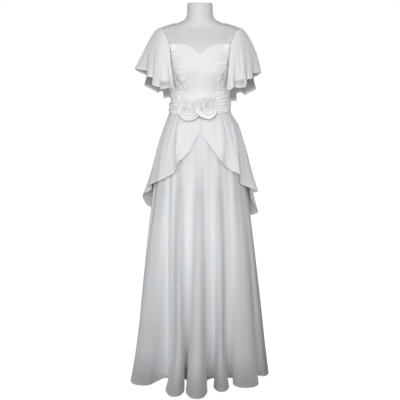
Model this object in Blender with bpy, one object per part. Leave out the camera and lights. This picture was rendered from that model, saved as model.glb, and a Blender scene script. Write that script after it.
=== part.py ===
"""A wedding dress on a limbless dress form, at its real size, in metres.

The dress faces -Y and +Z is up. Left and right are the viewer's, seen from the front. The origin is on
the floor, under the middle of the stand's base. A turn is an angle round the body, in degrees: 0 is the
centre front, 90 the viewer's right side and 180 the centre back.
"""
import math

import bmesh
import bpy
import numpy as np

# Cloth
SATIN_WALL = 0.0015
CHIFFON_WALL = 0.0012
SEAM = 0.0003
LIFT = 0.0017  # from the form's skin to the inside of the cloth that lies on it
SIDES = {"l": -1, "r": 1}

# Dress form and its stand
FORM_COLUMNS = 34
FORM_FINE = (1.00, 1.48)  # heights where the form has a row between each two of its sections
FORM_BOTTOM = 0.750
SQUARENESS = 0.03
BUST_HEIGHT = 1.352
BUST_APART = 0.072
BUST_SPREAD = 0.046
FORM_BUST = 0.014
CUP = 0.019
POLE_RADIUS = 0.0125
SOCKET_RADIUS = 0.020
SOCKET_TOP = 0.055
BASE_THICKNESS = 0.008
LEG_REACH = 0.200
LEG_HALF_WIDTH = 0.017
HUB_RADIUS = 0.050

# Bodice
WAIST = 1.200
SIDE_SEAM = 92.0
BODICE_ROWS = (0, 0.13, 0.26, 0.39, 0.52, 0.64, 0.75, 0.85, 0.93, 1)  # shares of its height
PANEL_COLUMNS = {"front": 17, "side": 8, "back": 9}

# Straps
STRAP_FOOT = 1.4523
STRAP_ROWS = 13
STRAP_COLUMNS = 5
SHOULDER = (1.470, 1.560)  # the heights between which the form's shoulder line lies

# Sash and its two rosettes
SASH_PLEATS = 5
SASH_COLUMNS = 38
SASH_INSIDE = 0.0038  # beyond the skirt's top ring
SASH_FOLD = 0.0050
ROSETTE_LIFT = 0.0013

# Each rosette: where its middle is, its half width and half height, how far it stands out, the turns
# of its wound strip, and the way the strip winds.
ROSETTES = {
    "l": {"x": -0.050, "z": 1.198, "wide": 0.0395, "high": 0.0375, "deep": 0.023, "winds": 2.2, "way": -1},
    "r": {"x": 0.0275, "z": 1.208, "wide": 0.0360, "high": 0.0425, "deep": 0.026, "winds": 2.8, "way": 1},
}
ROSETTE_SIDES = 26
ROSETTE_RINGS = 8
ROSETTE_FOLD = 0.0045

# Skirt
HEM = 0.020
FOLDS_START = 1.080
FOLD_GROWTH = 1.15
COLUMNS_A_FOLD = 9
SKIRT_ROWS = (WAIST - SEAM, 1.16, 1.11, 1.05, 0.98, 0.88, 0.75, 0.59, 0.41, 0.22, HEM)

# Overskirt
OVERSKIRT_TOP = 1.1965
OVERSKIRT_TOP_OUT = 0.0021
OVERSKIRT_HIP_OUT = 0.0070
OVERSKIRT_GATHER = {"l": 0.000, "r": 0.013}  # how much more it stands out over the hip
OVERSKIRT_SPREADS = (1.178, 1.130)  # the heights between which it leaves the skirt
OPENING_TURN = 2.0


def table(columns, rows):
    """Named columns of a short table, each as an array, in the order of the first column."""
    values = np.array(sorted(rows), float)
    return dict(zip(columns.split(), values.T))


FORM = table(
    "height half_width front back",
    [
        (0.750, 0.150, 0.088, 0.100),
        (0.756, 0.159, 0.096, 0.110),
        (0.770, 0.164, 0.101, 0.117),
        (0.850, 0.167, 0.104, 0.122),
        (0.950, 0.166, 0.104, 0.122),
        (1.020, 0.159, 0.102, 0.118),
        (1.080, 0.146, 0.099, 0.110),
        (1.140, 0.126, 0.093, 0.099),
        (1.205, 0.1165, 0.090, 0.0925),
        (1.260, 0.1205, 0.092, 0.094),
        (1.310, 0.132, 0.098, 0.099),
        (1.355, 0.1430, 0.103, 0.104),
        (1.400, 0.155, 0.101, 0.106),
        (1.440, 0.172, 0.093, 0.100),
        (1.470, 0.180, 0.080, 0.089),
        (1.493, 0.180, 0.066, 0.076),
        (1.507, 0.169, 0.057, 0.068),
        (1.518, 0.145, 0.052, 0.063),
        (1.528, 0.113, 0.050, 0.060),
        (1.538, 0.082, 0.049, 0.058),
        (1.550, 0.061, 0.048, 0.056),
        (1.566, 0.0530, 0.047, 0.054),
        (1.613, 0.050, 0.047, 0.053),
    ],
)

# The bodice's top edge: the sweetheart front, the armhole and the back neckline.
BODICE_TOP = table(
    "turn height",
    [
        (0, 1.417),
        (4, 1.4225),
        (11, 1.440),
        (19, 1.450),
        (27, 1.452),
        (41, 1.452),
        (52, 1.437),
        (65, 1.392),
        (79, 1.367),
        (95, 1.364),
        (109, 1.385),
        (122, 1.424),
        (130, 1.440),
        (145, 1.441),
        (160, 1.418),
        (180, 1.402),
    ],
)

# Each strap's inner and outer edge from the middle, from its front foot over the shoulder to its back one.
STRAP = table(
    "over inner outer",
    [
        (0.00, 0.076, 0.121),
        (0.25, 0.096, 0.146),
        (0.50, 0.100, 0.168),
        (0.75, 0.096, 0.146),
        (1.00, 0.076, 0.112),
    ],
)
STRAP_BACK_TURN = 138  # where on the bodice's back a strap's foot stands

PRINCESS_SEAM = table("height turn", [(1.20, 38), (1.30, 38), (1.36, 36), (1.46, 30)])

# The skirt before its folds open, as a plain oval at each height.
SKIRT = table(
    "height half_width front back",
    [
        (0.02, 0.298, 0.234, 0.238),
        (0.15, 0.282, 0.222, 0.226),
        (0.30, 0.266, 0.208, 0.212),
        (0.50, 0.243, 0.188, 0.192),
        (0.70, 0.218, 0.165, 0.172),
        (0.80, 0.204, 0.152, 0.162),
        (0.90, 0.190, 0.139, 0.152),
        (1.00, 0.175, 0.126, 0.141),
        (1.05, 0.163, 0.118, 0.132),
        (1.10, 0.147, 0.110, 0.120),
        (1.15, 0.130, 0.101, 0.106),
        (1.20, 0.1200, 0.0935, 0.0960),
    ],
)

# One row for each fold at the hem: the turn where it leaves the waist, the middle of its neck, the way
# it points, its length from neck to tip, and its half width at the neck and at its fullest.
FOLDS = table(
    "waist x y points length neck full",
    [
        (-167, -0.044, 0.130, -170, 0.116, 0.027, 0.036),
        (-142, -0.118, 0.112, -146, 0.108, 0.026, 0.037),
        (-116, -0.188, 0.090, -120, 0.076, 0.027, 0.037),
        (-91, -0.246, 0.033, -95, 0.046, 0.031, 0.038),
        (-61, -0.240, -0.038, -8, 0.095, 0.052, 0.054),
        (-30, -0.106, -0.068, 0, 0.169, 0.029, 0.040),
        (-4, -0.014, -0.092, 0, 0.164, 0.042, 0.045),
        (25, 0.091, -0.062, 0, 0.130, 0.026, 0.033),
        (53, 0.194, -0.060, 4, 0.095, 0.048, 0.055),
        (84, 0.256, 0.002, 83, 0.049, 0.036, 0.041),
        (115, 0.184, 0.100, 121, 0.080, 0.030, 0.040),
        (142, 0.112, 0.122, 150, 0.104, 0.028, 0.038),
        (167, 0.042, 0.135, 172, 0.110, 0.026, 0.035),
    ],
)

# Along each fold: how far down its length, how much of its half width, and its share of the waist.
FOLD_OUTLINE = table(
    "waist_share length_share side",
    [
        (0.07, 0.00, -1.00),
        (0.24, 0.60, -1.00),
        (0.39, 0.92, -0.60),
        (0.50, 1.00, 0.00),
        (0.61, 0.92, 0.60),
        (0.76, 0.60, 1.00),
        (0.93, 0.00, 1.00),
    ],
)

# The overskirt's hem on each side: its height, and how far it stands out from the skirt.
OVERSKIRT_HEM = {
    "r": table(
        "turn hem out",
        [
            (2.0, 1.112, 0.006),
            (7.5, 1.083, 0.009),
            (17, 1.048, 0.013),
            (24, 1.018, 0.020),
            (28, 0.998, 0.018),
            (34, 0.985, 0.009),
            (43, 0.966, 0.015),
            (50, 0.950, 0.027),
            (54, 0.922, 0.020),
            (58, 0.905, 0.009),
            (66, 0.880, 0.013),
            (80, 0.852, 0.060),
            (92, 0.834, 0.012),
            (107, 0.772, 0.044),
            (121, 0.742, 0.015),
            (136, 0.728, 0.038),
            (150, 0.712, 0.015),
            (165, 0.702, 0.034),
            (180, 0.700, 0.018),
        ],
    ),
    "l": table(
        "turn hem out",
        [
            (-2.0, 1.112, 0.006),
            (7.5, 1.075, 0.009),
            (12, 1.046, 0.012),
            (21, 1.016, 0.017),
            (27, 0.996, 0.024),
            (31, 0.962, 0.012),
            (36, 0.950, 0.009),
            (50, 0.925, 0.014),
            (64, 0.905, 0.017),
            (76, 0.889, 0.022),
            (86, 0.862, 0.008),
            (98, 0.831, 0.042),
            (107, 0.802, 0.048),
            (117, 0.780, 0.014),
            (129, 0.758, 0.038),
            (142, 0.735, 0.014),
            (156, 0.718, 0.034),
            (168, 0.706, 0.015),
            (180, 0.702, 0.020),
        ],
    ),
}
OVERSKIRT_COLUMNS = 33
OVERSKIRT_ROWS = (0, 0.05, 0.12, 0.22, 0.34, 0.49, 0.66, 0.84, 1)  # shares of its drop

# A flutter sleeve's hem, from its front corner over the tip to its back corner.
SLEEVE_HEM = table(
    "along x y z",
    [
        (0.00, 0.102, -0.118, 1.279),
        (0.12, 0.124, -0.124, 1.298),
        (0.25, 0.165, -0.118, 1.304),
        (0.38, 0.207, -0.088, 1.330),
        (0.50, 0.252, -0.018, 1.350),
        (0.56, 0.229, 0.018, 1.322),
        (0.62, 0.224, 0.045, 1.300),
        (0.70, 0.232, 0.080, 1.278),
        (0.78, 0.217, 0.108, 1.260),
        (0.88, 0.178, 0.124, 1.234),
        (1.00, 0.121, 0.112, 1.214),
    ],
)
SLEEVE_REACH = {"l": 1.035, "r": 0.985}
SLEEVE_WAVES = 8
SLEEVE_WAVE = 0.011
SLEEVE_COLUMNS = 45
SLEEVE_ROWS = 6
SLEEVE_SEAM = 0.94  # its place across the strap
SLEEVE_CLEAR = 0.0010  # over the strap
SLEEVE_SPRING = 0.034  # how far the cloth springs sideways, forwards and upwards before it falls
SLEEVE_FORWARD = 0.022
SLEEVE_RISE = 0.004
SLEEVE_DROOP = 0.030  # and how far it falls at its two ends


def along(of, column, place):
    """A table's column at any place between its rows, on a smooth curve that never overshoots them."""
    places = next(iter(of.values()))
    values = of[column]
    rises = np.diff(values) / np.diff(places)
    left, right = rises[:-1], rises[1:]
    same_way = left * right > 0
    inner = np.where(same_way, 2 * left * right / np.where(same_way, left + right, 1), 0)
    slopes = np.concatenate([rises[:1], inner, rises[-1:]])
    place = np.clip(np.asarray(place, float), places[0], places[-1])
    row = np.clip(np.searchsorted(places, place) - 1, 0, len(places) - 2)
    span = places[row + 1] - places[row]
    s = (place - places[row]) / span
    from_left = values[row] * (1 + 2 * s) * (1 - s) ** 2 + slopes[row] * span * s * (1 - s) ** 2
    from_right = values[row + 1] * s**2 * (3 - 2 * s) - slopes[row + 1] * span * s**2 * (1 - s)
    return from_left + from_right


def oval(of, turn, height, out=0.0):
    """X and Y on a table's oval section, out metres beyond it."""
    angle = np.radians(turn)
    depth = np.where(np.cos(angle) > 0, along(of, "front", height), along(of, "back", height))
    fullness = 1 + SQUARENESS * np.sin(2 * angle) ** 2
    x = (along(of, "half_width", height) * fullness + out) * np.sin(angle)
    y = -(depth * fullness + out) * np.cos(angle)
    return x, y


def torso(turn, height, bust):
    """Points on the form's skin, with a bust that stands out by the given depth."""
    x, y = oval(FORM, turn, height)
    at_front = np.clip(3 * np.cos(np.radians(turn)), 0, 1)
    sideways = ((np.abs(x) - BUST_APART) / BUST_SPREAD) ** 2
    upwards = ((height - BUST_HEIGHT) / BUST_SPREAD) ** 2
    return x, y - bust * at_front * np.exp(-sideways - upwards)


def grid(x, y, z):
    return np.stack(np.broadcast_arrays(x, y, z), axis=-1)


def directions(surface, axis):
    """Along one axis of a grid, the mean of the unit steps that lead to each point and from it."""
    steps = np.diff(surface, axis=axis)
    steps /= np.linalg.norm(steps, axis=-1, keepdims=True)
    count = steps.shape[axis]
    led_to = np.take(steps, [0, *range(count)], axis=axis)
    led_from = np.take(steps, [*range(count), count - 1], axis=axis)
    return (led_to + led_from) / 2


def normals_of(surface):
    """Unit normals of a grid of points, pointing away from the body's middle line."""
    normal = np.cross(directions(surface, 1), directions(surface, 0))
    normal /= np.linalg.norm(normal, axis=-1, keepdims=True)
    outward = (normal[..., :2] * surface[..., :2]).sum()
    return normal if outward > 0 else -normal


def material(name, colour, roughness, metallic=0.0):
    """A plain finish with the part's own colour."""
    made = bpy.data.materials.new(name)
    made.use_nodes = True
    shader = made.node_tree.nodes["Principled BSDF"]
    shader.inputs["Base Color"].default_value = (*colour, 1)
    shader.inputs["Roughness"].default_value = roughness
    shader.inputs["Metallic"].default_value = metallic
    return made


def piece(name, points, faces, finish):
    """One closed mesh as a named object, faces outwards and shaded smooth."""
    mesh = bpy.data.meshes.new(name)
    mesh.from_pydata([tuple(p) for p in points], [], faces)
    shape = bmesh.new()
    shape.from_mesh(mesh)
    bmesh.ops.recalc_face_normals(shape, faces=shape.faces)
    shape.to_mesh(mesh)
    shape.free()
    mesh.shade_smooth()
    mesh.set_sharp_from_angle(angle=math.radians(50))
    mesh.materials.append(finish)
    made = bpy.data.objects.new(name, mesh)
    bpy.context.scene.collection.objects.link(made)
    return made


def strips(rows, columns, around):
    """Quads of a grid, as indices row by row."""
    faces = []
    for row in range(rows - 1):
        here, after = row * columns, (row + 1) * columns
        for c in range(columns if around else columns - 1):
            d = (c + 1) % columns
            faces.append((here + c, here + d, after + d, after + c))
    return faces


def halved(surface, quads):
    """Each quad of a grid as two triangles, cut along its shorter diagonal so that a wall's sides match."""
    points = surface.reshape(-1, 3)
    triangles = []
    for a, b, c, d in quads:
        if np.linalg.norm(points[a] - points[c]) <= np.linalg.norm(points[b] - points[d]):
            triangles += [(a, b, c), (a, c, d)]
        else:
            triangles += [(a, b, d), (b, c, d)]
    return triangles


def wall(name, surface, inside, outside, finish, normal=None):
    """A cloth wall between two offsets of a grid of points, with its rims closed."""
    rows, columns = surface.shape[:2]
    normal = normals_of(surface) if normal is None else normal
    outer = (surface + normal * outside).reshape(-1, 3)
    inner = (surface + normal * inside).reshape(-1, 3)
    count = rows * columns
    front = halved(surface, strips(rows, columns, around=False))
    faces = front + [tuple(count + i for i in reversed(face)) for face in front]
    top = list(range(columns))
    bottom = list(range(count - columns, count))
    left = list(range(0, count, columns))
    right = list(range(columns - 1, count, columns))
    for rim in (top, right, bottom, left):
        faces += [(a, b, count + b, count + a) for a, b in zip(rim, rim[1:])]
    return piece(name, np.concatenate([outer, inner]), faces, finish)


def turned(name, profile, sides, finish):
    """A closed solid turned round the Z axis from (radius, height) pairs.

    It ends in a point where the radius is 0, or is a ring where the last pair repeats the first.
    """
    points = []
    faces = []
    rings = []
    for radius, height in profile:
        if rings and (radius, height) == profile[0]:
            rings.append(rings[0])
            continue
        ring = []
        for k in range(sides if radius else 1):
            angle = 2 * math.pi * k / sides
            ring.append(len(points))
            points.append((radius * math.cos(angle), radius * math.sin(angle), height))
        rings.append(ring)
    for lower, upper in zip(rings, rings[1:]):
        for k in range(sides):
            corners = [lower[k % len(lower)], lower[(k + 1) % len(lower)]]
            corners += [upper[(k + 1) % len(upper)], upper[k % len(upper)]]
            faces.append(tuple(dict.fromkeys(corners)))
    return piece(name, points, faces, finish)


def stand():
    """A steel pole in a socket on a flat base with four legs, which the skirt hides."""
    steel = material("stand_steel", (0.62, 0.62, 0.63), 0.35, 1.0)
    enamel = material("stand_enamel", (0.85, 0.85, 0.84), 0.4)
    turned(
        "stand_pole",
        [
            (0, BASE_THICKNESS + SEAM),
            (POLE_RADIUS, BASE_THICKNESS + SEAM),
            (POLE_RADIUS, FORM_BOTTOM - SEAM),
            (0, FORM_BOTTOM - SEAM),
        ],
        20,
        steel,
    )
    foot = BASE_THICKNESS + SEAM
    bore = POLE_RADIUS + SEAM
    round_edge = 0.003
    turned(
        "stand_socket",
        [
            (bore, foot),
            (SOCKET_RADIUS + round_edge, foot),
            (SOCKET_RADIUS + round_edge, foot + round_edge),
            (SOCKET_RADIUS, foot + 2 * round_edge),
            (SOCKET_RADIUS, SOCKET_TOP - round_edge),
            (SOCKET_RADIUS - round_edge, SOCKET_TOP),
            (bore, SOCKET_TOP),
            (bore, foot),
        ],
        20,
        enamel,
    )
    corner = math.sqrt(HUB_RADIUS**2 - LEG_HALF_WIDTH**2)
    hub_steps = 4
    outline = []
    for quarter in range(4):
        heading = quarter * math.pi / 2
        leg = [(corner, -LEG_HALF_WIDTH), (LEG_REACH - LEG_HALF_WIDTH, -LEG_HALF_WIDTH)]
        for step in range(1, 6):
            bend = math.radians(-90 + 30 * step)
            end = LEG_REACH - LEG_HALF_WIDTH + LEG_HALF_WIDTH * math.cos(bend)
            leg.append((end, LEG_HALF_WIDTH * math.sin(bend)))
        leg += [(LEG_REACH - LEG_HALF_WIDTH, LEG_HALF_WIDTH), (corner, LEG_HALF_WIDTH)]
        leaves = math.asin(LEG_HALF_WIDTH / HUB_RADIUS)
        for step in range(1, hub_steps):
            angle = leaves + (math.pi / 2 - 2 * leaves) * step / hub_steps
            leg.append((HUB_RADIUS * math.cos(angle), HUB_RADIUS * math.sin(angle)))
        for x, y in leg:
            along_leg = x * math.cos(heading) - y * math.sin(heading)
            across_leg = x * math.sin(heading) + y * math.cos(heading)
            outline.append((along_leg, across_leg))
    count = len(outline)
    points = [(x, y, 0) for x, y in outline] + [(x, y, BASE_THICKNESS) for x, y in outline]
    faces = [tuple(range(count)), tuple(range(2 * count - 1, count - 1, -1))]
    faces += [(k, (k + 1) % count, count + (k + 1) % count, count + k) for k in range(count)]
    piece("stand_base", points, faces, enamel)


def dress_form():
    """The limbless torso that the dress rests on, whole from its flat neck to below the hips."""
    finish = material("form_shell", (0.80, 0.80, 0.79), 0.45)
    sections = FORM["height"]
    between = (sections[1:] + sections[:-1]) / 2
    low, high = FORM_FINE
    height = np.sort(np.concatenate([sections, between[(between > low) & (between < high)]]))[:, None]
    turn = np.arange(FORM_COLUMNS)[None, :] * 360 / FORM_COLUMNS
    x, y = torso(turn, height, FORM_BUST)
    skin = grid(x, y, height)
    points = list(skin.reshape(-1, 3))
    faces = strips(len(height), FORM_COLUMNS, around=True)
    faces.append(tuple(range(FORM_COLUMNS)))
    faces.append(tuple(range(len(points) - FORM_COLUMNS, len(points))))
    piece("form_torso", points, faces, finish)


def bodice_panel(name, from_turn, to_turn, columns, finish):
    """A bodice panel between two seams, each given as a turn for every height."""
    share = np.linspace(0, 1, columns)[None, :]
    rise = np.array(BODICE_ROWS)[:, None]
    height = np.full((len(rise), columns), WAIST)
    for _ in range(4):
        turn = from_turn(height) + (to_turn(height) - from_turn(height)) * share
        top = along(BODICE_TOP, "height", np.abs(turn[-1]))
        height = WAIST + (top - WAIST) * rise
    turn = from_turn(height) + (to_turn(height) - from_turn(height)) * share
    x, y = torso(turn, height, CUP)
    return wall(name, grid(x, y, height), LIFT, LIFT + SATIN_WALL, finish)


def bodice():
    """The sweetheart front, the two side panels and the two back panels, joined at the centre back."""
    satin = material("bodice_satin", (0.93, 0.93, 0.94), 0.42)
    lace = material("side_lace", (0.88, 0.88, 0.88), 0.7)
    gap = math.degrees(0.5 * SEAM / FORM["half_width"].min())
    joins = {
        "princess": lambda height: along(PRINCESS_SEAM, "turn", height),
        "side": lambda height: SIDE_SEAM + 0 * height,
        "back": lambda height: 180 + 0 * height,
    }

    def panel(name, way, first, last, finish):
        columns = PANEL_COLUMNS[name.split("_")[1]]
        bodice_panel(name, lambda h: first(h) + way * gap, lambda h: last(h) - way * gap, columns, finish)

    princess, side, back = joins.values()
    panel("bodice_front", 1, lambda h: -princess(h), princess, satin)
    for name, way in SIDES.items():
        panel(f"bodice_side_{name}", way, lambda h: way * princess(h), lambda h: way * side(h), lace)
        panel(f"bodice_back_{name}", way, lambda h: way * side(h), lambda h: way * back(h), satin)


def ridge_height(x):
    """The height where the form's shoulder line is x metres from its middle."""
    low = np.full_like(x, SHOULDER[0])
    high = np.full_like(x, SHOULDER[1])
    for _ in range(40):
        middle = (low + high) / 2
        wide = along(FORM, "half_width", middle) > x
        low = np.where(wide, middle, low)
        high = np.where(wide, high, middle)
    return low


def turn_at(x, height):
    """The turn, from 0 to 90, where the form's section at this height is x metres from its middle."""
    low = np.zeros_like(x)
    high = np.full_like(x, 90.0)
    for _ in range(40):
        middle = (low + high) / 2
        short = torso(middle, height, FORM_BUST)[0] < x
        low = np.where(short, middle, low)
        high = np.where(short, high, middle)
    return high


def strap_surface(over, across):
    """Points on the form's shoulder, over it from the front foot to the back one and across from the neck."""
    x = along(STRAP, "inner", over) * (1 - across) + along(STRAP, "outer", over) * across
    climb = np.sin(math.pi * over)
    height = STRAP_FOOT + (ridge_height(x) - STRAP_FOOT) * climb
    back_foot = along(BODICE_TOP, "height", STRAP_BACK_TURN) + SEAM
    height = np.where(over > 0.5, back_foot + (ridge_height(x) - back_foot) * climb, height)
    turn = turn_at(x, height)
    turn = np.where(over > 0.5, 180 - turn, turn)
    _, y = torso(turn, height, FORM_BUST)
    return grid(x, y, height)


def straps():
    """A sheer lace strap over each shoulder, from the bodice front to its back."""
    lace = material("strap_lace", (0.86, 0.86, 0.85), 0.7)
    for name, way in SIDES.items():
        over = np.linspace(0, 1, STRAP_ROWS)[:, None]
        across = np.linspace(0, 1, STRAP_COLUMNS)[None, :]
        surface = strap_surface(over, across) * np.array([way, 1, 1])
        wall(f"strap_{name}", surface, LIFT, LIFT + CHIFFON_WALL, lace)


def sleeves():
    """A flutter sleeve on each strap's outer edge: a flounce that hangs free, longer at the back."""
    chiffon = material("sleeve_chiffon", (0.87, 0.87, 0.87), 0.6)
    for name, way in SIDES.items():
        share = np.linspace(0, 1, SLEEVE_COLUMNS)[None, :]
        strap = strap_surface(share, np.full_like(share, SLEEVE_SEAM))
        beyond = strap_surface(share, np.full_like(share, 1.0))
        sideways = beyond - strap
        sideways /= np.linalg.norm(sideways, axis=-1, keepdims=True)
        onwards = np.gradient(strap, axis=1)
        up = np.cross(sideways, onwards)
        up /= np.linalg.norm(up, axis=-1, keepdims=True)
        up *= np.sign(up[..., 2:] + 1e-9)
        start = strap + up * (LIFT + SATIN_WALL + SLEEVE_CLEAR + CHIFFON_WALL)
        hem = grid(*(along(SLEEVE_HEM, axis, share) for axis in "xyz"))
        hem[..., 0] *= SLEEVE_REACH[name]
        over_shoulder = np.sin(math.pi * share)[..., None]
        front_or_back = np.cos(math.pi * share)
        forward = grid(0 * share, -front_or_back, 0 * share)
        control = start + sideways * SLEEVE_SPRING * over_shoulder + forward * SLEEVE_FORWARD
        control = control + up * SLEEVE_RISE
        control[..., 2] -= SLEEVE_DROOP * (1 - over_shoulder[..., 0])
        down = np.linspace(0, 1, SLEEVE_ROWS)[:, None, None]
        surface = start * (1 - down) ** 2 + control * 2 * down * (1 - down) + hem * down**2
        wave = np.sin(2 * math.pi * (SLEEVE_WAVES * share + 0.1)) * (0.85 + 0.3 * np.sin(9 * share))
        plain = normals_of(surface)
        surface = surface + plain * (SLEEVE_WAVE * wave * down[..., 0] ** 1.6)[..., None]
        surface = surface * np.array([way, 1, 1])
        wall(f"sleeve_{name}", surface, -CHIFFON_WALL, 0, chiffon)


def sash_edges(turn):
    """The sash's lower and upper edge at a turn: it dips and narrows at the viewer's left."""
    lean = np.sin(np.radians(turn))
    front = np.clip(np.cos(np.radians(turn)), 0, 1)
    middle = 1.2045 + 0.0075 * lean - 0.002 * front
    half = 0.0215 + 0.0050 * lean + 0.004 * front
    return middle - half, middle + half


def sash():
    """The pleated sash, a band round the waist with soft folds along it."""
    satin = material("sash_satin", (0.92, 0.92, 0.93), 0.4)
    columns = SASH_COLUMNS
    turn = np.arange(columns) * 360 / columns
    low, high = sash_edges(turn)
    steps = 2 * SASH_PLEATS
    outside = [(k / steps, SASH_FOLD if k % 2 else 0.3 * SASH_FOLD) for k in range(steps + 1)]
    inside = [(share, 0.0) for share in (0.99, 0.66, 0.33, 0.01)]
    rows = []
    for share, bulge in outside + inside:
        height = low + (high - low) * share
        x, y = oval(SKIRT, turn, height, SASH_INSIDE + bulge)
        rows.append(grid(x, y, height))
    points = np.concatenate(rows)
    faces = []
    for r in range(len(rows)):
        after = (r + 1) % len(rows)
        for c in range(columns):
            d = (c + 1) % columns
            faces.append((r * columns + c, r * columns + d, after * columns + d, after * columns + c))
    piece("sash", points, faces, satin)


def rosettes():
    """Two roses wound from folded strips of the sash's cloth, sewn on its front."""
    satin = material("rosette_satin", (0.93, 0.93, 0.94), 0.4)
    for name, rose in ROSETTES.items():
        angle = np.arange(ROSETTE_SIDES) * 2 * math.pi / ROSETTE_SIDES
        points = []
        for front in (True, False):
            for ring in range(ROSETTE_RINGS, 0, -1) if front else range(1, ROSETTE_RINGS + 1, 4):
                share = ring / ROSETTE_RINGS
                x = rose["x"] + rose["wide"] * share * np.sin(angle)
                z = rose["z"] + rose["high"] * share * np.cos(angle)
                out = SASH_INSIDE + SASH_FOLD + ROSETTE_LIFT
                turn = np.degrees(np.arcsin(x / (along(SKIRT, "half_width", z) + out)))
                _, y = oval(SKIRT, turn, z, out)
                if front:
                    dome = rose["deep"] * math.sqrt(1 - 0.94 * share**2)
                    strip = share * rose["winds"] + rose["way"] * angle / (2 * math.pi)
                    ridge = np.abs(np.sin(math.pi * strip)) - 0.6
                    y = y - dome - ROSETTE_FOLD * ridge * math.sin(math.pi * min(1.0, 1.12 * share))
                points += list(grid(x, y, z))
            if front:
                middle = len(points)
                tip = np.array([rose["x"], points[-1][1] - 0.001, rose["z"]])
                points.append(tip)
        sides = ROSETTE_SIDES
        faces = strips(ROSETTE_RINGS, sides, around=True)
        last = (ROSETTE_RINGS - 1) * sides
        faces += [(last + c, last + (c + 1) % sides, middle) for c in range(sides)]
        back = middle + 1
        back_rings = (len(points) - back) // sides
        faces += [tuple(back + i for i in face) for face in strips(back_rings, sides, around=True)]
        rim = back + (back_rings - 1) * sides
        faces += [(c, (c + 1) % sides, rim + (c + 1) % sides, rim + c) for c in range(sides)]
        faces.append(tuple(back + c for c in range(sides)))
        piece(f"rosette_{name}", points, faces, satin)


def hem_curve():
    """The closed hem line in plan: for each key point its turn at the waist, x and y."""
    waist = FOLDS["waist"]
    before = (waist + np.roll(waist, 1)) / 2
    after = (waist + np.roll(waist, -1)) / 2
    before[0] -= 180
    after[-1] += 180
    keys = []
    for k in range(len(waist)):
        heading = math.radians(FOLDS["points"][k])
        ahead = np.array([math.sin(heading), -math.cos(heading)])
        beside = np.array([math.cos(heading), math.sin(heading)])
        neck = np.array([FOLDS["x"][k], FOLDS["y"][k]])
        for share, down, side in zip(*FOLD_OUTLINE.values()):
            width = FOLDS["neck"][k] if down == 0 else FOLDS["full"][k]
            place = neck + ahead * FOLDS["length"][k] * down + beside * width * side
            keys.append((before[k] + (after[k] - before[k]) * share, *place))
    return np.array(keys)


def hem_point(keys, place):
    """The closed curve through the hem's key points, at any place counted in keys."""
    count = len(keys)
    key = np.floor(place).astype(int)
    s = (place - key)[..., None]
    corner = [keys[(key + k) % count].copy() for k in (-1, 0, 1, 2)]
    for k, around in zip((-1, 0, 1, 2), corner):
        around[..., 0] += 360 * np.floor((key + k) / count)
    p, q, r, t = corner
    return 0.5 * (2 * q + (r - p) * s + (2 * p - 5 * q + 4 * r - t) * s**2 + (3 * q - p - 3 * r + t) * s**3)


def skirt_surface(keys, place, height):
    """Points on the skirt: a plain oval at the hips that opens into the hem's folds on its way down."""
    hem = hem_point(keys, place)
    turn = hem[..., 0]
    x, y = oval(SKIRT, turn, height)
    wide = along(SKIRT, "half_width", height) / along(SKIRT, "half_width", HEM)
    deep = along(SKIRT, "front", height) / along(SKIRT, "front", HEM)
    drop = np.clip((FOLDS_START - height) / (FOLDS_START - HEM), 0, 1)
    open_by = drop**FOLD_GROWTH
    return grid(x + open_by * (hem[..., 1] * wide - x), y + open_by * (hem[..., 2] * deep - y), height)


def place_of_turn(keys, turn):
    """The place along the hem, counted in keys, whose cloth hangs from this turn of the waist."""
    low, high = -len(keys), 2 * len(keys)
    for _ in range(50):
        middle = (low + high) / 2
        if hem_point(keys, np.array([middle]))[0, 0] < turn:
            low = middle
        else:
            high = middle
    return low


def skirt():
    """The long skirt: a front panel and two back ones, which fall in deep round folds at the hem."""
    chiffon = material("skirt_chiffon", (0.90, 0.90, 0.90), 0.6)
    keys = hem_curve()
    gap = math.degrees(0.6 * SEAM / SKIRT["front"].min())
    panels = {
        "skirt_back_l": (-180 + gap, -SIDE_SEAM - gap),
        "skirt_front": (-SIDE_SEAM + gap, SIDE_SEAM - gap),
        "skirt_back_r": (SIDE_SEAM + gap, 180 - gap),
    }
    for name, (start, end) in panels.items():
        first = place_of_turn(keys, start)
        last = place_of_turn(keys, end)
        columns = round((last - first) * COLUMNS_A_FOLD / len(FOLD_OUTLINE["side"]))
        spacing = (last - first) / columns
        place = first + spacing * np.arange(-1, columns + 2)[None, :]
        height = np.array(SKIRT_ROWS)[:, None]
        surface = skirt_surface(keys, place, height)
        shown = slice(1, -1)  # one more column past each seam gives both panels the same normal there
        wall(name, surface[:, shown], -CHIFFON_WALL, 0, chiffon, normals_of(surface)[:, shown])


def overskirt():
    """The open overskirt: two flared panels that part at the centre front and fall lower to the back."""
    chiffon = material("overskirt_chiffon", (0.90, 0.90, 0.90), 0.6)
    gap = math.degrees(0.8 * SEAM / SKIRT["front"].min())
    for name, way in SIDES.items():
        hem_row = OVERSKIRT_HEM[name]
        start = way * OPENING_TURN + gap
        turn = np.linspace(start, 180 - gap, OVERSKIRT_COLUMNS)[None, :]
        hem = along(hem_row, "hem", turn)
        drop = np.array(OVERSKIRT_ROWS)[:, None]
        height = OVERSKIRT_TOP + (hem - OVERSKIRT_TOP) * drop
        high, low = OVERSKIRT_SPREADS
        spread = np.clip((high - height) / (high - low), 0, 1)
        hip = OVERSKIRT_HIP_OUT + OVERSKIRT_GATHER[name] * np.sin(np.radians(turn)) ** 2
        out = OVERSKIRT_TOP_OUT + (hip - OVERSKIRT_TOP_OUT) * spread
        out = out + (along(hem_row, "out", turn) - hip) * drop**3
        x, y = oval(SKIRT, turn, height, out)
        surface = grid(x, y, height) * np.array([way, 1, 1])
        wall(f"overskirt_{name}", surface, -CHIFFON_WALL, 0, chiffon)


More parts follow.
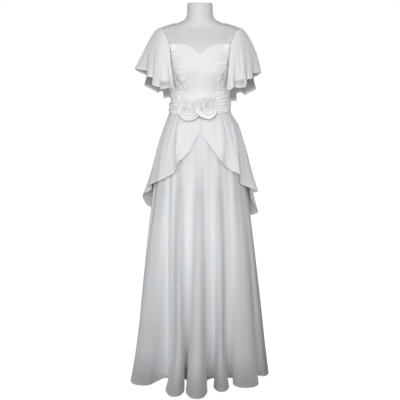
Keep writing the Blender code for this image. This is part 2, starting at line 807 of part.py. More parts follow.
for old in list(bpy.data.objects):
    bpy.data.objects.remove(old)
stand()
dress_form()
bodice()
straps()
sleeves()
sash()
rosettes()
skirt()
overskirt()
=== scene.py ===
import math

import bpy
import numpy as np
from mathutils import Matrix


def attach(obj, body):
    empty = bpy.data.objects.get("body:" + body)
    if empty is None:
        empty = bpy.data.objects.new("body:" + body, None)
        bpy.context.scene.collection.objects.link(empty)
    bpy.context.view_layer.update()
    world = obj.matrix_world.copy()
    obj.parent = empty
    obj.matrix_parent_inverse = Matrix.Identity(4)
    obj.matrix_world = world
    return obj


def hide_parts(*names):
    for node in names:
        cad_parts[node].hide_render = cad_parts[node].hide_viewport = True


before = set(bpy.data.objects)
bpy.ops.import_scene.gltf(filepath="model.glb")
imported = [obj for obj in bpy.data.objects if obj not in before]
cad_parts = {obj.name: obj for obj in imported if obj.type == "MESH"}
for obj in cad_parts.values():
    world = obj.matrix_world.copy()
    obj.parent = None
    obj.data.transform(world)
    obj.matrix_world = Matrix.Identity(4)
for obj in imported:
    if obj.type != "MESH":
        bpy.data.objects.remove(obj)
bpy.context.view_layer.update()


# The set. A white studio sweep, a large soft box in front of the dress at head height, weaker ones at
# the sides and behind, and a camera that looks down a little from the height of the shoulders.
def placed(name, data):
    """An object of its own in the scene, at the origin."""
    made = bpy.data.objects.new(name, data)
    bpy.context.scene.collection.objects.link(made)
    return made


CAMERA_BACK, CAMERA_UP = 3.2, 1.52
CAMERA_TILT = 12.6
SENSOR, LENS = 36, 69.75
view = placed("camera", bpy.data.cameras.new("camera"))
view.location = (0, -CAMERA_BACK, CAMERA_UP)
view.rotation_euler = (math.radians(90 - CAMERA_TILT), 0, 0)
view.data.sensor_width = SENSOR
view.data.lens = LENS
bpy.context.scene.camera = view
bpy.context.scene.view_settings.view_transform = "Standard"


def soft_box(name, place, target, size, watts, spread):
    """A square studio light that faces a point, seen only by what it lights."""
    lamp = placed(name, bpy.data.lights.new(name, "AREA"))
    lamp.data.shape = "SQUARE"
    lamp.data.size = size
    lamp.data.energy = watts
    lamp.data.spread = math.radians(spread)
    lamp.visible_camera = False
    lamp.location = place
    away = np.array(place) - np.array(target)
    flat = math.hypot(away[0], away[1])
    lamp.rotation_euler = (math.atan2(flat, away[2]), 0, math.atan2(away[0], -away[1]))


soft_box("key_light", (-0.10, -2.30, 1.52), (0, 0, 1.12), 1.2, 18.2, 132)
soft_box("left_fill", (-2.2, -1.8, 1.5), (0, 0, 1.2), 1.6, 7.6, 120)
soft_box("right_fill", (2.2, -1.8, 1.6), (0, 0, 1.45), 1.6, 2.3, 60)
soft_box("back_fill", (0.3, 2.7, 1.5), (0, 0, 1.0), 1.2, 14.0, 100)


def feed(tree, value, entry):
    """A value set on a node's input, or linked to it where it comes from another node."""
    if isinstance(value, bpy.types.NodeSocket):
        tree.links.new(value, entry)
    else:
        entry.default_value = value


def node_of(tree, kind, **values):
    """A shader or geometry node, with its inputs and settings given by name."""
    made = tree.nodes.new(kind)
    for name, value in values.items():
        label = name.replace("_", " ")
        if label in made.inputs:
            feed(tree, value, made.inputs[label])
        else:
            setattr(made, name, value)
    return made


def joined(tree, kind, *values):
    """The result of a node that takes its first inputs in order, such as a mix or a sum."""
    made = node_of(tree, kind)
    for value, entry in zip(values, made.inputs):
        feed(tree, value, entry)
    return made.outputs[0]


def plain_finish(name, colour, roughness, metallic=0.0):
    """A Principled finish, with its tree and its shader."""
    made = bpy.data.materials.new(name)
    made.use_nodes = True
    shader = made.node_tree.nodes["Principled BSDF"]
    shader.inputs["Base Color"].default_value = (*colour, 1)
    shader.inputs["Roughness"].default_value = roughness
    shader.inputs["Metallic"].default_value = metallic
    return made, made.node_tree, shader


def surface_of(tree, shown):
    """Shows a mix of shaders on the piece in place of the plain one."""
    feed(tree, shown, tree.nodes["Material Output"].inputs["Surface"])


sky = bpy.data.worlds.new("studio")
bpy.context.scene.world = sky
sky.use_nodes = True
tree = sky.node_tree
dim = tree.nodes["Background"]
dim.inputs["Color"].default_value = (0.95, 0.97, 1.0, 1)
dim.inputs["Strength"].default_value = 0.38
bright = node_of(tree, "ShaderNodeBackground", Color=(1, 1, 1, 1), Strength=1.0)
seen = node_of(tree, "ShaderNodeLightPath").outputs["Is Camera Ray"]
both = joined(tree, "ShaderNodeMixShader", seen, dim.outputs[0], bright.outputs[0])
feed(tree, both, tree.nodes["World Output"].inputs["Surface"])

floor_mesh = bpy.data.meshes.new("floor")
floor_mesh.from_pydata([(-20, -20, 0), (20, -20, 0), (20, 20, 0), (-20, 20, 0)], [], [(0, 1, 2, 3)])
pale, tree, paper = plain_finish("floor_paper", (0.14, 0.14, 0.14), 0.9)
glow = node_of(tree, "ShaderNodeEmission", Strength=1.0)
lit = joined(tree, "ShaderNodeAddShader", paper.outputs[0], glow.outputs[0])
seen = node_of(tree, "ShaderNodeLightPath").outputs["Is Camera Ray"]
surface_of(tree, joined(tree, "ShaderNodeMixShader", seen, paper.outputs[0], lit))
floor_mesh.materials.append(pale)
placed("floor", floor_mesh)


# The stand. A brushed steel pole in a cast socket on a flat cross base, both in white enamel, which
# carries the form and stays inside the skirt.
def pattern(tree, kind, source, stretch=(1, 1, 1), **values):
    """A texture read from a named map of the piece, stretched along its axes."""
    if source == "Object":
        place = node_of(tree, "ShaderNodeTexCoord").outputs["Object"]
    else:
        place = node_of(tree, "ShaderNodeUVMap", uv_map=source).outputs["UV"]
    mapping = node_of(tree, "ShaderNodeMapping", Vector=place, Scale=stretch)
    return node_of(tree, kind, Vector=mapping.outputs[0], **values)


def tones(tree, value, stops):
    """A ramp of greys or colours over a texture's value."""
    ramp = node_of(tree, "ShaderNodeValToRGB")
    while len(ramp.color_ramp.elements) < len(stops):
        ramp.color_ramp.elements.new(0.5)
    for element, (place, colour) in zip(ramp.color_ramp.elements, stops):
        element.position = place
        element.color = (*colour, 1)
    feed(tree, value, ramp.inputs[0])
    return ramp.outputs["Color"]


def raised(tree, shader, height, distance, strength=1.0):
    """Relief on a finish, from a texture's value."""
    bump = node_of(tree, "ShaderNodeBump", Height=height, Strength=strength, Distance=distance)
    feed(tree, bump.outputs[0], shader.inputs["Normal"])


steel, tree, shader = plain_finish("brushed_steel", (0.60, 0.60, 0.61), 0.34, 1.0)
brushing = pattern(tree, "ShaderNodeTexNoise", "Object", (900, 900, 14), Scale=1.0, Detail=3.0)
polish = tones(tree, brushing.outputs[0], [(0.3, (0.26,) * 3), (0.7, (0.44,) * 3)])
feed(tree, polish, shader.inputs["Roughness"])
raised(tree, shader, brushing.outputs[0], 0.00004)
enamel, tree, shader = plain_finish("white_enamel", (0.84, 0.84, 0.83), 0.38)
orange_peel = pattern(tree, "ShaderNodeTexNoise", "Object", Scale=420.0, Detail=2.0)
raised(tree, shader, orange_peel.outputs[0], 0.00006)
for name, finish in (("stand_pole", steel), ("stand_socket", enamel), ("stand_base", enamel)):
    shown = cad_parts[name].data
    shown.materials.clear()
    shown.materials.append(finish)


# The dress form. A limbless torso in a hard shell with a matt skin of pale paint, whole under the
# dress from its flat neck to below the hips, and screwed to the top of the pole.
def table(columns, rows):
    """Named columns of a short table, in the order of the first one."""
    return dict(zip(columns.split(), np.array(sorted(rows), float).T))


def along(of, column, place):
    """A table's column at any place between its rows, on a smooth curve that never overshoots them."""
    places = next(iter(of.values()))
    values = of[column]
    rises = np.diff(values) / np.diff(places)
    left, right = rises[:-1], rises[1:]
    same_way = left * right > 0
    inner = np.where(same_way, 2 * left * right / np.where(same_way, left + right, 1), 0)
    slopes = np.concatenate([rises[:1], inner, rises[-1:]])
    place = np.clip(np.asarray(place, float), places[0], places[-1])
    row = np.clip(np.searchsorted(places, place) - 1, 0, len(places) - 2)
    span = places[row + 1] - places[row]
    s = (place - places[row]) / span
    from_left = values[row] * (1 + 2 * s) * (1 - s) ** 2 + slopes[row] * span * s * (1 - s) ** 2
    from_right = values[row + 1] * s**2 * (3 - 2 * s) - slopes[row + 1] * span * s**2 * (1 - s)
    return from_left + from_right


def oval(of, turn, height, out=0.0):
    """X and Y on a table's oval section, out metres beyond it. A turn of 0 is the centre front."""
    angle = np.radians(turn)
    depth = np.where(np.cos(angle) > 0, along(of, "front", height), along(of, "back", height))
    fullness = 1 + 0.03 * np.sin(2 * angle) ** 2
    x = (along(of, "half_width", height) * fullness + out) * np.sin(angle)
    return x, -(depth * fullness + out) * np.cos(angle)


FORM = table(
    "height half_width front back",
    [
        (0.750, 0.150, 0.088, 0.100),
        (0.756, 0.159, 0.096, 0.110),
        (0.770, 0.164, 0.101, 0.117),
        (0.850, 0.167, 0.104, 0.122),
        (0.950, 0.166, 0.104, 0.122),
        (1.020, 0.159, 0.102, 0.118),
        (1.080, 0.146, 0.099, 0.110),
        (1.140, 0.126, 0.093, 0.099),
        (1.205, 0.1165, 0.090, 0.0925),
        (1.260, 0.1205, 0.092, 0.094),
        (1.310, 0.132, 0.098, 0.099),
        (1.355, 0.1430, 0.103, 0.104),
        (1.400, 0.155, 0.101, 0.106),
        (1.440, 0.172, 0.093, 0.100),
        (1.470, 0.180, 0.080, 0.089),
        (1.493, 0.180, 0.066, 0.076),
        (1.507, 0.169, 0.057, 0.068),
        (1.518, 0.145, 0.052, 0.063),
        (1.528, 0.113, 0.050, 0.060),
        (1.538, 0.082, 0.049, 0.058),
        (1.550, 0.061, 0.048, 0.056),
        (1.566, 0.0530, 0.047, 0.054),
        (1.613, 0.050, 0.047, 0.053),
    ],
)
FORM_BUST = 0.014
CUP = 0.019


def torso(turn, height, bust):
    """Points on the body, with a bust that stands out by the given depth."""
    x, y = oval(FORM, turn, height)
    at_front = np.clip(3 * np.cos(np.radians(turn)), 0, 1)
    sideways = ((np.abs(x) - 0.072) / 0.046) ** 2
    upwards = ((height - 1.352) / 0.046) ** 2
    return x, y - bust * at_front * np.exp(-sideways - upwards)


def grid(x, y, z):
    """Points from their three coordinates, which may be rows, columns or single values."""
    return np.stack(np.broadcast_arrays(x, y, z), axis=-1)


def outwards(surface, towards=None):
    """Unit normals of a grid of points, away from the body's middle line or the way that is asked for."""
    normal = np.cross(np.gradient(surface, axis=1), np.gradient(surface, axis=0))
    normal /= np.maximum(np.linalg.norm(normal, axis=-1, keepdims=True), 1e-12)
    facing = (normal[..., :2] * surface[..., :2]).sum() if towards is None else (normal * towards).sum()
    return normal if facing > 0 else -normal


def strips(rows, columns, around, closed=False):
    """Quads of a grid, as indices row by row: around joins its columns' ends, closed its rows' ends."""
    faces = []
    for row in range(rows if closed else rows - 1):
        here, after = row * columns, (row + 1) % rows * columns
        for c in range(columns if around else columns - 1):
            d = (c + 1) % columns
            faces.append((here + c, here + d, after + d, after + c))
    return faces


def piece(name, points, faces, finish, node, flat=None, marks=None):
    """A closed mesh in its place, with its cloth map in metres and its marks, riding on the stand."""
    mesh = bpy.data.meshes.new(name)
    mesh.from_pydata([tuple(p) for p in points], [], faces)
    if flat is not None:
        layer = mesh.uv_layers.new(name="cloth")
        corner = np.empty(len(mesh.loops), np.int32)
        mesh.loops.foreach_get("vertex_index", corner)
        layer.data.foreach_set("uv", np.asarray(flat, np.float32)[corner].reshape(-1))
    for label, values in (marks or {}).items():
        mark = mesh.attributes.new(label, "FLOAT", "POINT")
        mark.data.foreach_set("value", np.asarray(values, np.float32))
    mesh.shade_smooth()
    mesh.set_sharp_from_angle(angle=math.radians(60))
    mesh.materials.append(finish)
    made = placed(name, mesh)
    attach(made, "root")
    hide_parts(node)
    return made


shell, tree, shader = plain_finish("form_paint", (0.66, 0.66, 0.65), 0.45)
mottle = pattern(tree, "ShaderNodeTexNoise", "Object", Scale=14.0, Detail=3.0)
paint = tones(tree, mottle.outputs[0], [(0.3, (0.605, 0.605, 0.598)), (0.7, (0.635, 0.633, 0.625))])
feed(tree, paint, shader.inputs["Base Color"])
grain = pattern(tree, "ShaderNodeTexNoise", "Object", Scale=700.0, Detail=2.0)
raised(tree, shader, grain.outputs[0], 0.00005)

columns = 144
heights = np.concatenate([np.linspace(0.750, 1.46, 72), np.linspace(1.465, 1.6105, 56)])
turn = np.arange(columns)[None, :] * 360 / columns
x, y = torso(turn, heights[:, None], FORM_BUST)
skin = grid(x, y, heights[:, None])
lip = skin[-1] * np.array([0.985, 0.985, 0]) + np.array([0, 0, 1.6124])
rim = skin[-1] * np.array([0.955, 0.955, 0]) + np.array([0, 0, 1.6130])
skin = np.concatenate([skin, lip[None], rim[None]])
rows = len(skin)
faces = strips(rows, columns, around=True)
faces.append(tuple(range(columns - 1, -1, -1)))
faces.append(tuple(range((rows - 1) * columns, rows * columns)))
piece("torso_shell", skin.reshape(-1, 3), faces, shell, "form_torso")


# The bodice. A sweetheart front and two back panels in satin-faced chiffon, and a lace panel on each
# side, cut to the body and joined edge to edge, with a concealed zip at the centre back.
def cloth(name, surface, thick, finish, node, normal, marks=None, inner_marks=None):
    """A thin shell of cloth: a grid of points, and the same grid again its thickness further in.

    The marks go on both faces, unless inner_marks gives another value for the inner one.
    """
    rows, columns = surface.shape[:2]
    count = rows * columns
    points = np.concatenate([surface.reshape(-1, 3), (surface - normal * thick).reshape(-1, 3)])
    front = strips(rows, columns, around=False)
    faces = front + [tuple(count + i for i in reversed(face)) for face in front]
    top = list(range(columns))
    bottom = list(range(count - 1, count - columns - 1, -1))
    left = list(range(count - columns, -1, -columns))
    right = list(range(columns - 1, count, columns))
    for edge in (top, right, bottom, left):
        faces += [(b, a, count + a, count + b) for a, b in zip(edge, edge[1:])]
    middle = front[len(front) // 2]
    a, b, c = surface.reshape(-1, 3)[list(middle[:3])]
    if np.dot(np.cross(b - a, c - a), normal.reshape(-1, 3)[middle[0]]) < 0:
        faces = [tuple(reversed(face)) for face in faces]
    across = np.linalg.norm(np.diff(surface, axis=1), axis=-1)
    down = np.linalg.norm(np.diff(surface, axis=0), axis=-1)
    u = np.concatenate([np.zeros((rows, 1)), np.cumsum(across, axis=1)], axis=1)
    u = u - u[:, columns // 2][:, None]
    v = np.concatenate([np.zeros((1, columns)), np.cumsum(down, axis=0)], axis=0)
    flat = np.stack([u, v], axis=-1).reshape(-1, 2)
    doubled = {}
    for label, values in (marks or {}).items():
        outer = np.asarray(values, float).reshape(-1)
        inner = 0 * outer + inner_marks[label] if label in (inner_marks or {}) else outer
        doubled[label] = np.concatenate([outer, inner])
    return piece(name, points, faces, finish, node, np.tile(flat, (2, 1)), doubled)


THREAD = 0.0005
# The painted highlight on the hems of cloth.
HEM_HIGHLIGHT = (0.90, 0.90, 0.90)


def woven(name, colour, shade, rough, sheer, sheen=0.25, cloud=0.025):
    """White cloth: a fine even weave and faint clouds, with shade and a hem's highlight painted in by its
    marks.
    """
    made, tree, shader = plain_finish(name, colour, rough)
    shader.inputs["Sheen Weight"].default_value = sheen
    shader.inputs["Sheen Roughness"].default_value = 0.5
    shader.inputs["Specular IOR Level"].default_value = 0.25
    clouds = pattern(tree, "ShaderNodeTexNoise", "Object", (1.0, 1.0, 0.35), Scale=16.0, Detail=1.5)
    cool = tuple(c * t for c, t in zip(colour, (1 - cloud, 1.0, 1.0)))
    warm = tuple(c * t for c, t in zip(colour, (1.0, 1 - cloud, 0.995)))
    shown = tones(tree, clouds.outputs[0], [(0.36, cool), (0.50, colour), (0.64, warm)])
    # The stand mark paints shade and the hem mark paints a highlight into the cloth's colour.
    for mark, marked in (("stand", shade), ("hem", HEM_HIGHLIGHT)):
        there = node_of(tree, "ShaderNodeAttribute", attribute_name=mark)
        blend = node_of(tree, "ShaderNodeMix", data_type="RGBA")
        feed(tree, there.outputs["Fac"], blend.inputs[0])
        feed(tree, shown, blend.inputs[6])
        feed(tree, (*marked, 1), blend.inputs[7])
        shown = blend.outputs[2]
    feed(tree, shown, shader.inputs["Base Color"])
    weave = {"Scale": 0.314 / THREAD, "Distortion": 0.4}
    warp = pattern(tree, "ShaderNodeTexWave", "cloth", **weave)
    weft = pattern(tree, "ShaderNodeTexWave", "cloth", bands_direction="Y", **weave)
    relief = joined(tree, "ShaderNodeMath", warp.outputs["Fac"], weft.outputs["Fac"])
    raised(tree, shader, relief, 0.00004, 0.6)
    glowing = node_of(tree, "ShaderNodeBsdfTranslucent", Color=shown)
    surface_of(tree, joined(tree, "ShaderNodeMixShader", sheer, shader.outputs[0], glowing.outputs[0]))
    return made


satin = woven("satin_chiffon", (0.780, 0.777, 0.789), (0.66, 0.66, 0.68), rough=0.5, sheer=0.05, cloud=0.012)
LIFT = 0.0017
SATIN_WALL = 0.0015
WAIST = 1.200
SIDE_SEAM = 92.0
BODICE_TOP = table(
    "turn height",
    [
        (0, 1.417),
        (4, 1.4225),
        (11, 1.440),
        (19, 1.450),
        (27, 1.452),
        (41, 1.452),
        (52, 1.437),
        (65, 1.392),
        (79, 1.367),
        (95, 1.364),
        (109, 1.385),
        (122, 1.424),
        (130, 1.440),
        (145, 1.441),
        (160, 1.418),
        (180, 1.402),
    ],
)
PRINCESS_SEAM = table("height turn", [(1.20, 38), (1.30, 38), (1.36, 36), (1.46, 30)])
# Soft creases, from one place to another in x and height: how wide each is, and how deep it presses in.
FRONT_CREASES = [
    (-0.080, 1.296, -0.044, 1.300, 0.0045, 0.0016),
    (-0.082, 1.283, -0.040, 1.288, 0.0045, 0.0018),
    (-0.078, 1.270, -0.046, 1.273, 0.0050, 0.0014),
    (-0.060, 1.325, -0.030, 1.309, 0.0060, 0.0010),
    (0.055, 1.331, 0.078, 1.330, 0.0045, 0.0012),
    (0.060, 1.296, 0.082, 1.292, 0.0045, 0.0012),
    (0.050, 1.268, 0.080, 1.262, 0.0055, 0.0014),
    (-0.012, 1.300, -0.030, 1.250, 0.0080, 0.0012),
    (0.010, 1.290, 0.018, 1.250, 0.0080, 0.0010),
    (0.020, 1.395, 0.012, 1.350, 0.0100, 0.0010),
    (-0.020, 1.398, -0.010, 1.352, 0.0100, 0.0010),
]
BACK_CREASES = [
    (-0.075, 1.282, -0.040, 1.290, 0.0050, 0.0014),
    (-0.078, 1.262, -0.036, 1.266, 0.0055, 0.0016),
    (0.040, 1.288, 0.078, 1.280, 0.0050, 0.0014),
    (0.034, 1.262, 0.080, 1.258, 0.0055, 0.0016),
    (-0.050, 1.330, -0.020, 1.318, 0.0070, 0.0010),
    (0.018, 1.322, 0.052, 1.334, 0.0070, 0.0010),
]


def pressed(surface, normal, creases, side):
    """A grid of points with soft creases pressed into it: side is -1 for the front, 1 for the back."""
    depth = np.zeros(surface.shape[:2])
    there = surface[..., 1] * side > 0
    for ax, az, bx, bz, width, deep in creases:
        run = np.array([bx - ax, bz - az])
        from_a = np.stack([surface[..., 0] - ax, surface[..., 2] - az], axis=-1)
        share = np.clip((from_a @ run) / (run @ run), 0, 1)
        away = np.linalg.norm(from_a - share[..., None] * run, axis=-1)
        taper = np.sqrt(np.sin(np.pi * (0.08 + 0.84 * share)))
        depth += deep * taper * np.exp(-((away / width) ** 2)) * there
    return surface - normal * depth[..., None]


def bodice_panel(name, first, last, columns, finish, creases=(), side=-1):
    """A bodice panel between two seams, each given as a turn for every height."""
    rows = 72
    share = np.linspace(0, 1, columns)[None, :]
    rise = (1 - np.linspace(1, 0, rows) ** 1.15)[:, None]
    height = np.full((rows, columns), WAIST)
    for _ in range(5):
        turn = first(height) + (last(height) - first(height)) * share
        top = along(BODICE_TOP, "height", np.abs(turn[-1]))
        height = WAIST + (top - WAIST) * rise
    turn = first(height) + (last(height) - first(height)) * share
    x, y = torso(turn, height, CUP)
    surface = grid(x, y, height)
    normal = outwards(surface)
    surface = pressed(surface, normal, creases, side)
    turned_edge = 0.0006 * np.exp(-(((top - height) / 0.0035) ** 2))
    surface = surface + normal * (LIFT + SATIN_WALL + turned_edge)[..., None]
    node = name.replace("panel_", "bodice_")
    return cloth(name, surface, SATIN_WALL, finish, node, normal)


def princess(height):
    """The turn of the princess seam at a height."""
    return along(PRINCESS_SEAM, "turn", height)


BODICE_SEAM = 0.00015
WAIST_RADIUS = 0.12
gap = math.degrees(BODICE_SEAM / WAIST_RADIUS)
front = bodice_panel(
    "panel_front",
    lambda h: gap - princess(h),
    lambda h: princess(h) - gap,
    110, satin, FRONT_CREASES,
)

lace_ground, tree, shader = plain_finish("lace_ground", (0.70, 0.70, 0.71), 0.75)
net = pattern(tree, "ShaderNodeTexVoronoi", "cloth", feature="DISTANCE_TO_EDGE", Scale=420.0)
holes = tones(tree, net.outputs["Distance"], [(0.04, (0.90, 0.90, 0.91)), (0.20, (0.78, 0.78, 0.79))])
feed(tree, holes, shader.inputs["Base Color"])
raised(tree, shader, net.outputs["Distance"], 0.0003, 0.5)

SIDES = {"l": -1, "r": 1}
for side, way in SIDES.items():
    lace = bodice_panel(
        f"panel_side_{side}",
        lambda h: way * (princess(h) + gap),
        lambda h: way * (SIDE_SEAM - gap),
        48, lace_ground,
    )
    back = bodice_panel(
        f"panel_back_{side}",
        lambda h: way * (SIDE_SEAM + gap),
        lambda h: way * (180 - gap),
        64, satin, BACK_CREASES, 1,
    )


# The straps. Two wide straps of sheer net, sewn to the front and back of the bodice and lying on the
# shoulders, so that the form shows through them.
STRAP_FOOT = 1.4523
STRAP = table(
    "over inner outer",
    [
        (0.00, 0.076, 0.121),
        (0.25, 0.096, 0.146),
        (0.50, 0.100, 0.168),
        (0.75, 0.096, 0.146),
        (1.00, 0.076, 0.112),
    ],
)
CHIFFON_WALL = 0.0012


def halved(low, high, below):
    """The place between two bounds where a test stops being true."""
    for _ in range(40):
        middle = (low + high) / 2
        under = below(middle)
        low = np.where(under, middle, low)
        high = np.where(under, high, middle)
    return low


def strap_surface(over, across):
    """Points on the shoulder: over runs from the front foot to the back one, across from the neck out."""
    x = along(STRAP, "inner", over) * (1 - across) + along(STRAP, "outer", over) * across
    low, high = np.full_like(x, 1.470), np.full_like(x, 1.560)
    ridge = halved(low, high, lambda z: along(FORM, "half_width", z) > x)
    climb = np.sin(math.pi * over)
    foot = np.where(over > 0.5, along(BODICE_TOP, "height", 138) + 0.0003, STRAP_FOOT)
    height = foot + (ridge - foot) * climb
    turn = halved(np.zeros_like(x), np.full_like(x, 90.0), lambda t: torso(t, height, FORM_BUST)[0] < x)
    turn = np.where(over > 0.5, 180 - turn, turn)
    return grid(x, torso(turn, height, FORM_BUST)[1], height)


# Fine net: little cells of thread, with the light passing between them.
net, tree, shader = plain_finish("strap_net", (0.72, 0.72, 0.73), 0.7)
cells = pattern(tree, "ShaderNodeTexVoronoi", "cloth", feature="DISTANCE_TO_EDGE", Scale=600.0)
cover = tones(tree, cells.outputs["Distance"], [(0.04, (1, 1, 1)), (0.30, (0.18, 0.18, 0.18))])
gaps = node_of(tree, "ShaderNodeBsdfTransparent")
surface_of(tree, joined(tree, "ShaderNodeMixShader", cover, gaps.outputs[0], shader.outputs[0]))
NET_THICK = 0.0006
for side, way in SIDES.items():
    over = np.linspace(0, 1, 64)[:, None]
    across = np.linspace(0, 1, 16)[None, :]
    surface = strap_surface(over, across) * np.array([way, 1, 1])
    normal = outwards(surface)
    surface = surface + normal * (LIFT + CHIFFON_WALL)
    strap = cloth(f"shoulder_net_{side}", surface, NET_THICK, net, f"strap_{side}", normal)


# The flutter sleeves. A flounce of chiffon on each strap's outer edge, cut on a circle so that its
# hem stands in loose waves, longer at the back, and finished with a narrow rolled hem.
chiffon = woven("sleeve_chiffon", (0.92, 0.92, 0.93), (0.48, 0.48, 0.49), rough=0.6, sheer=0.22, sheen=0.2)
SLEEVE_HEM = table(
    "along x y z",
    [
        (0.00, 0.102, -0.122, 1.279),
        (0.12, 0.130, -0.122, 1.298),
        (0.25, 0.170, -0.110, 1.306),
        (0.38, 0.215, -0.068, 1.334),
        (0.50, 0.260, 0.000, 1.350),
        (0.60, 0.236, 0.050, 1.314),
        (0.70, 0.214, 0.088, 1.268),
        (0.80, 0.180, 0.112, 1.244),
        (0.90, 0.145, 0.120, 1.224),
        (1.00, 0.102, 0.112, 1.208),
    ],
)
# Where each hem really hangs in its flutes, from the front corner round the tip to the back corner: the
# share of its length, its place across and down in the picture in pixels, and y in metres.
SLEEVE_FLUTES = {
    "l": [
        (0.000, 175.7, 91.3, -0.132), (0.045, 170.8, 87.3, -0.146), (0.085, 169.6, 87.2, -0.118),
        (0.130, 164.6, 88.6, -0.110), (0.180, 159.5, 88.4, -0.112), (0.215, 159.7, 87.2, -0.136),
        (0.250, 156.2, 86.2, -0.130), (0.285, 152.2, 84.2, -0.112), (0.320, 153.2, 78.4, -0.086),
        (0.350, 150.4, 77.0, -0.082), (0.380, 147.3, 75.9, -0.070), (0.410, 147.0, 71.2, -0.046),
        (0.450, 141.0, 69.8, -0.030), (0.500, 134.7, 68.4, 0.000), (0.545, 139.5, 72.0, 0.030),
        (0.590, 147.0, 76.0, 0.042), (0.625, 146.3, 80.0, 0.058), (0.660, 144.5, 84.6, 0.076),
        (0.710, 151.0, 88.8, 0.094), (0.760, 157.6, 92.6, 0.104), (0.800, 160.2, 91.2, 0.122),
        (0.840, 163.2, 92.8, 0.128), (0.875, 163.8, 98.4, 0.122), (0.920, 168.4, 97.2, 0.126),
        (0.960, 172.5, 99.5, 0.122), (1.000, 177.0, 101.5, 0.112),
    ],
    "r": [
        (0.000, 226.8, 89.8, -0.130), (0.045, 230.6, 89.4, -0.144), (0.085, 233.4, 87.4, -0.140),
        (0.125, 235.5, 87.2, -0.116), (0.170, 240.2, 87.6, -0.110), (0.215, 244.7, 87.2, -0.104),
        (0.245, 244.9, 87.5, -0.118), (0.275, 246.6, 83.0, -0.104), (0.310, 247.0, 78.9, -0.082),
        (0.345, 249.6, 78.6, -0.078), (0.385, 252.6, 77.6, -0.066), (0.415, 252.7, 73.9, -0.044),
        (0.450, 256.4, 73.2, -0.028), (0.500, 261.2, 72.3, 0.000), (0.545, 257.2, 75.4, 0.030),
        (0.590, 253.2, 78.6, 0.042), (0.625, 254.2, 83.4, 0.060), (0.665, 256.0, 88.8, 0.080),
        (0.710, 250.4, 92.0, 0.096), (0.755, 244.6, 95.0, 0.104), (0.790, 243.0, 92.8, 0.122),
        (0.830, 239.0, 92.6, 0.128), (0.865, 236.2, 94.6, 0.124), (0.900, 236.6, 100.4, 0.120),
        (0.945, 230.6, 100.8, 0.124), (1.000, 225.0, 102.0, 0.112),
    ],
}
PICTURE = 400
# Where along each hem a rolled-under edge is painted on, with no roll in the shape: shade below, a highlight
# above.
SLEEVE_PAINTED_ROLL = {"l": (0.070, 0.205), "r": (0.100, 0.250)}


def seen_at(across, down, y):
    """X and z of the point at a given y that the camera sees at a pixel of the picture."""
    tilt = math.radians(CAMERA_TILT)
    rise = (PICTURE / 2 - down) * SENSOR / (LENS * PICTURE)
    ahead = y + CAMERA_BACK
    climb = ahead * (rise * math.cos(tilt) - math.sin(tilt)) / (math.cos(tilt) + rise * math.sin(tilt))
    depth = ahead * math.cos(tilt) - climb * math.sin(tilt)
    return (across - PICTURE / 2) * SENSOR / (LENS * PICTURE) * depth, CAMERA_UP + climb


def hung(rows):
    """The keys of a sleeve's hem, to a millimetre: the share of its length, x, y and z."""
    share, across, down, y = np.array(rows).T
    x, z = seen_at(across, down, y)
    return np.stack([share, np.abs(x).round(3), y, z.round(3)], axis=1)


def through(keys, share):
    """A smooth curve that passes through keys of a share and a place in space."""
    at, spot = keys[:, 0], keys[:, 1:]
    slope = np.gradient(spot, at, axis=0)
    k = np.clip(np.searchsorted(at, share) - 1, 0, len(at) - 2)
    span = (at[k + 1] - at[k])[..., None]
    s = (np.asarray(share) - at[k])[..., None] / span
    ahead = spot[k] * (1 + 2 * s) * (1 - s) ** 2 + slope[k] * span * s * (1 - s) ** 2
    return ahead + spot[k + 1] * s**2 * (3 - 2 * s) - slope[k + 1] * span * s**2 * (1 - s)


def lines_of(name, shapes):
    """Lines, each given as its points and whether it closes, ready for a cord, beads or stitches."""
    points, links = [], []
    for shape, closed in shapes:
        first = len(points)
        points += [tuple(p) for p in shape]
        links += [(first + k, first + k + 1) for k in range(len(shape) - 1)]
        if closed:
            links.append((len(points) - 1, first))
    mesh = bpy.data.meshes.new(name)
    mesh.from_pydata(points, links, [])
    return placed(name, mesh)


def growing(name, sizes, build):
    """A Geometry Nodes tree that follows lines, with a named input for each size."""
    tree = bpy.data.node_groups.new(name, "GeometryNodeTree")
    tree.interface.new_socket("Lines", in_out="INPUT", socket_type="NodeSocketGeometry")
    for label, value in sizes.items():
        kind = {int: "NodeSocketInt", float: "NodeSocketFloat"}.get(type(value), "NodeSocketMaterial")
        made = tree.interface.new_socket(label, in_out="INPUT", socket_type=kind)
        if kind != "NodeSocketMaterial":
            made.default_value = value
    tree.interface.new_socket("Made", in_out="OUTPUT", socket_type="NodeSocketGeometry")
    start = tree.nodes.new("NodeGroupInput")
    end = tree.nodes.new("NodeGroupOutput")
    line = joined(tree, "GeometryNodeMeshToCurve", start.outputs["Lines"])
    real = joined(tree, "GeometryNodeRealizeInstances", build(tree, start.outputs, line))
    coat = node_of(tree, "GeometryNodeSetMaterial", Geometry=real, Material=start.outputs["Finish"])
    feed(tree, coat.outputs[0], end.inputs[0])
    return tree


def grown(line, tree, slot, **sizes):
    """Runs a tree on a line and keeps the result as a plain mesh that rides on the stand."""
    modifier = line.modifiers.new("grown", "NODES")
    modifier.node_group = tree
    labels = {item.name: item.identifier for item in tree.interface.items_tree if item.in_out == "INPUT"}
    for label, value in sizes.items():
        modifier[labels[label]] = value
    bpy.context.view_layer.update()
    graph = bpy.context.evaluated_depsgraph_get()
    mesh = bpy.data.meshes.new_from_object(line.evaluated_get(graph))
    line.modifiers.clear()
    line.data = mesh
    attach(line, "root")
    return line


def cord_build(tree, given, line):
    """A round cord along the line, closed at its ends."""
    ring = node_of(tree, "GeometryNodeCurvePrimitiveCircle", Resolution=5, Radius=given["Radius"])
    tube = node_of(tree, "GeometryNodeCurveToMesh", Curve=line, Profile_Curve=ring.outputs[0], Fill_Caps=True)
    return joined(tree, "GeometryNodeSetShadeSmooth", tube.outputs[0])


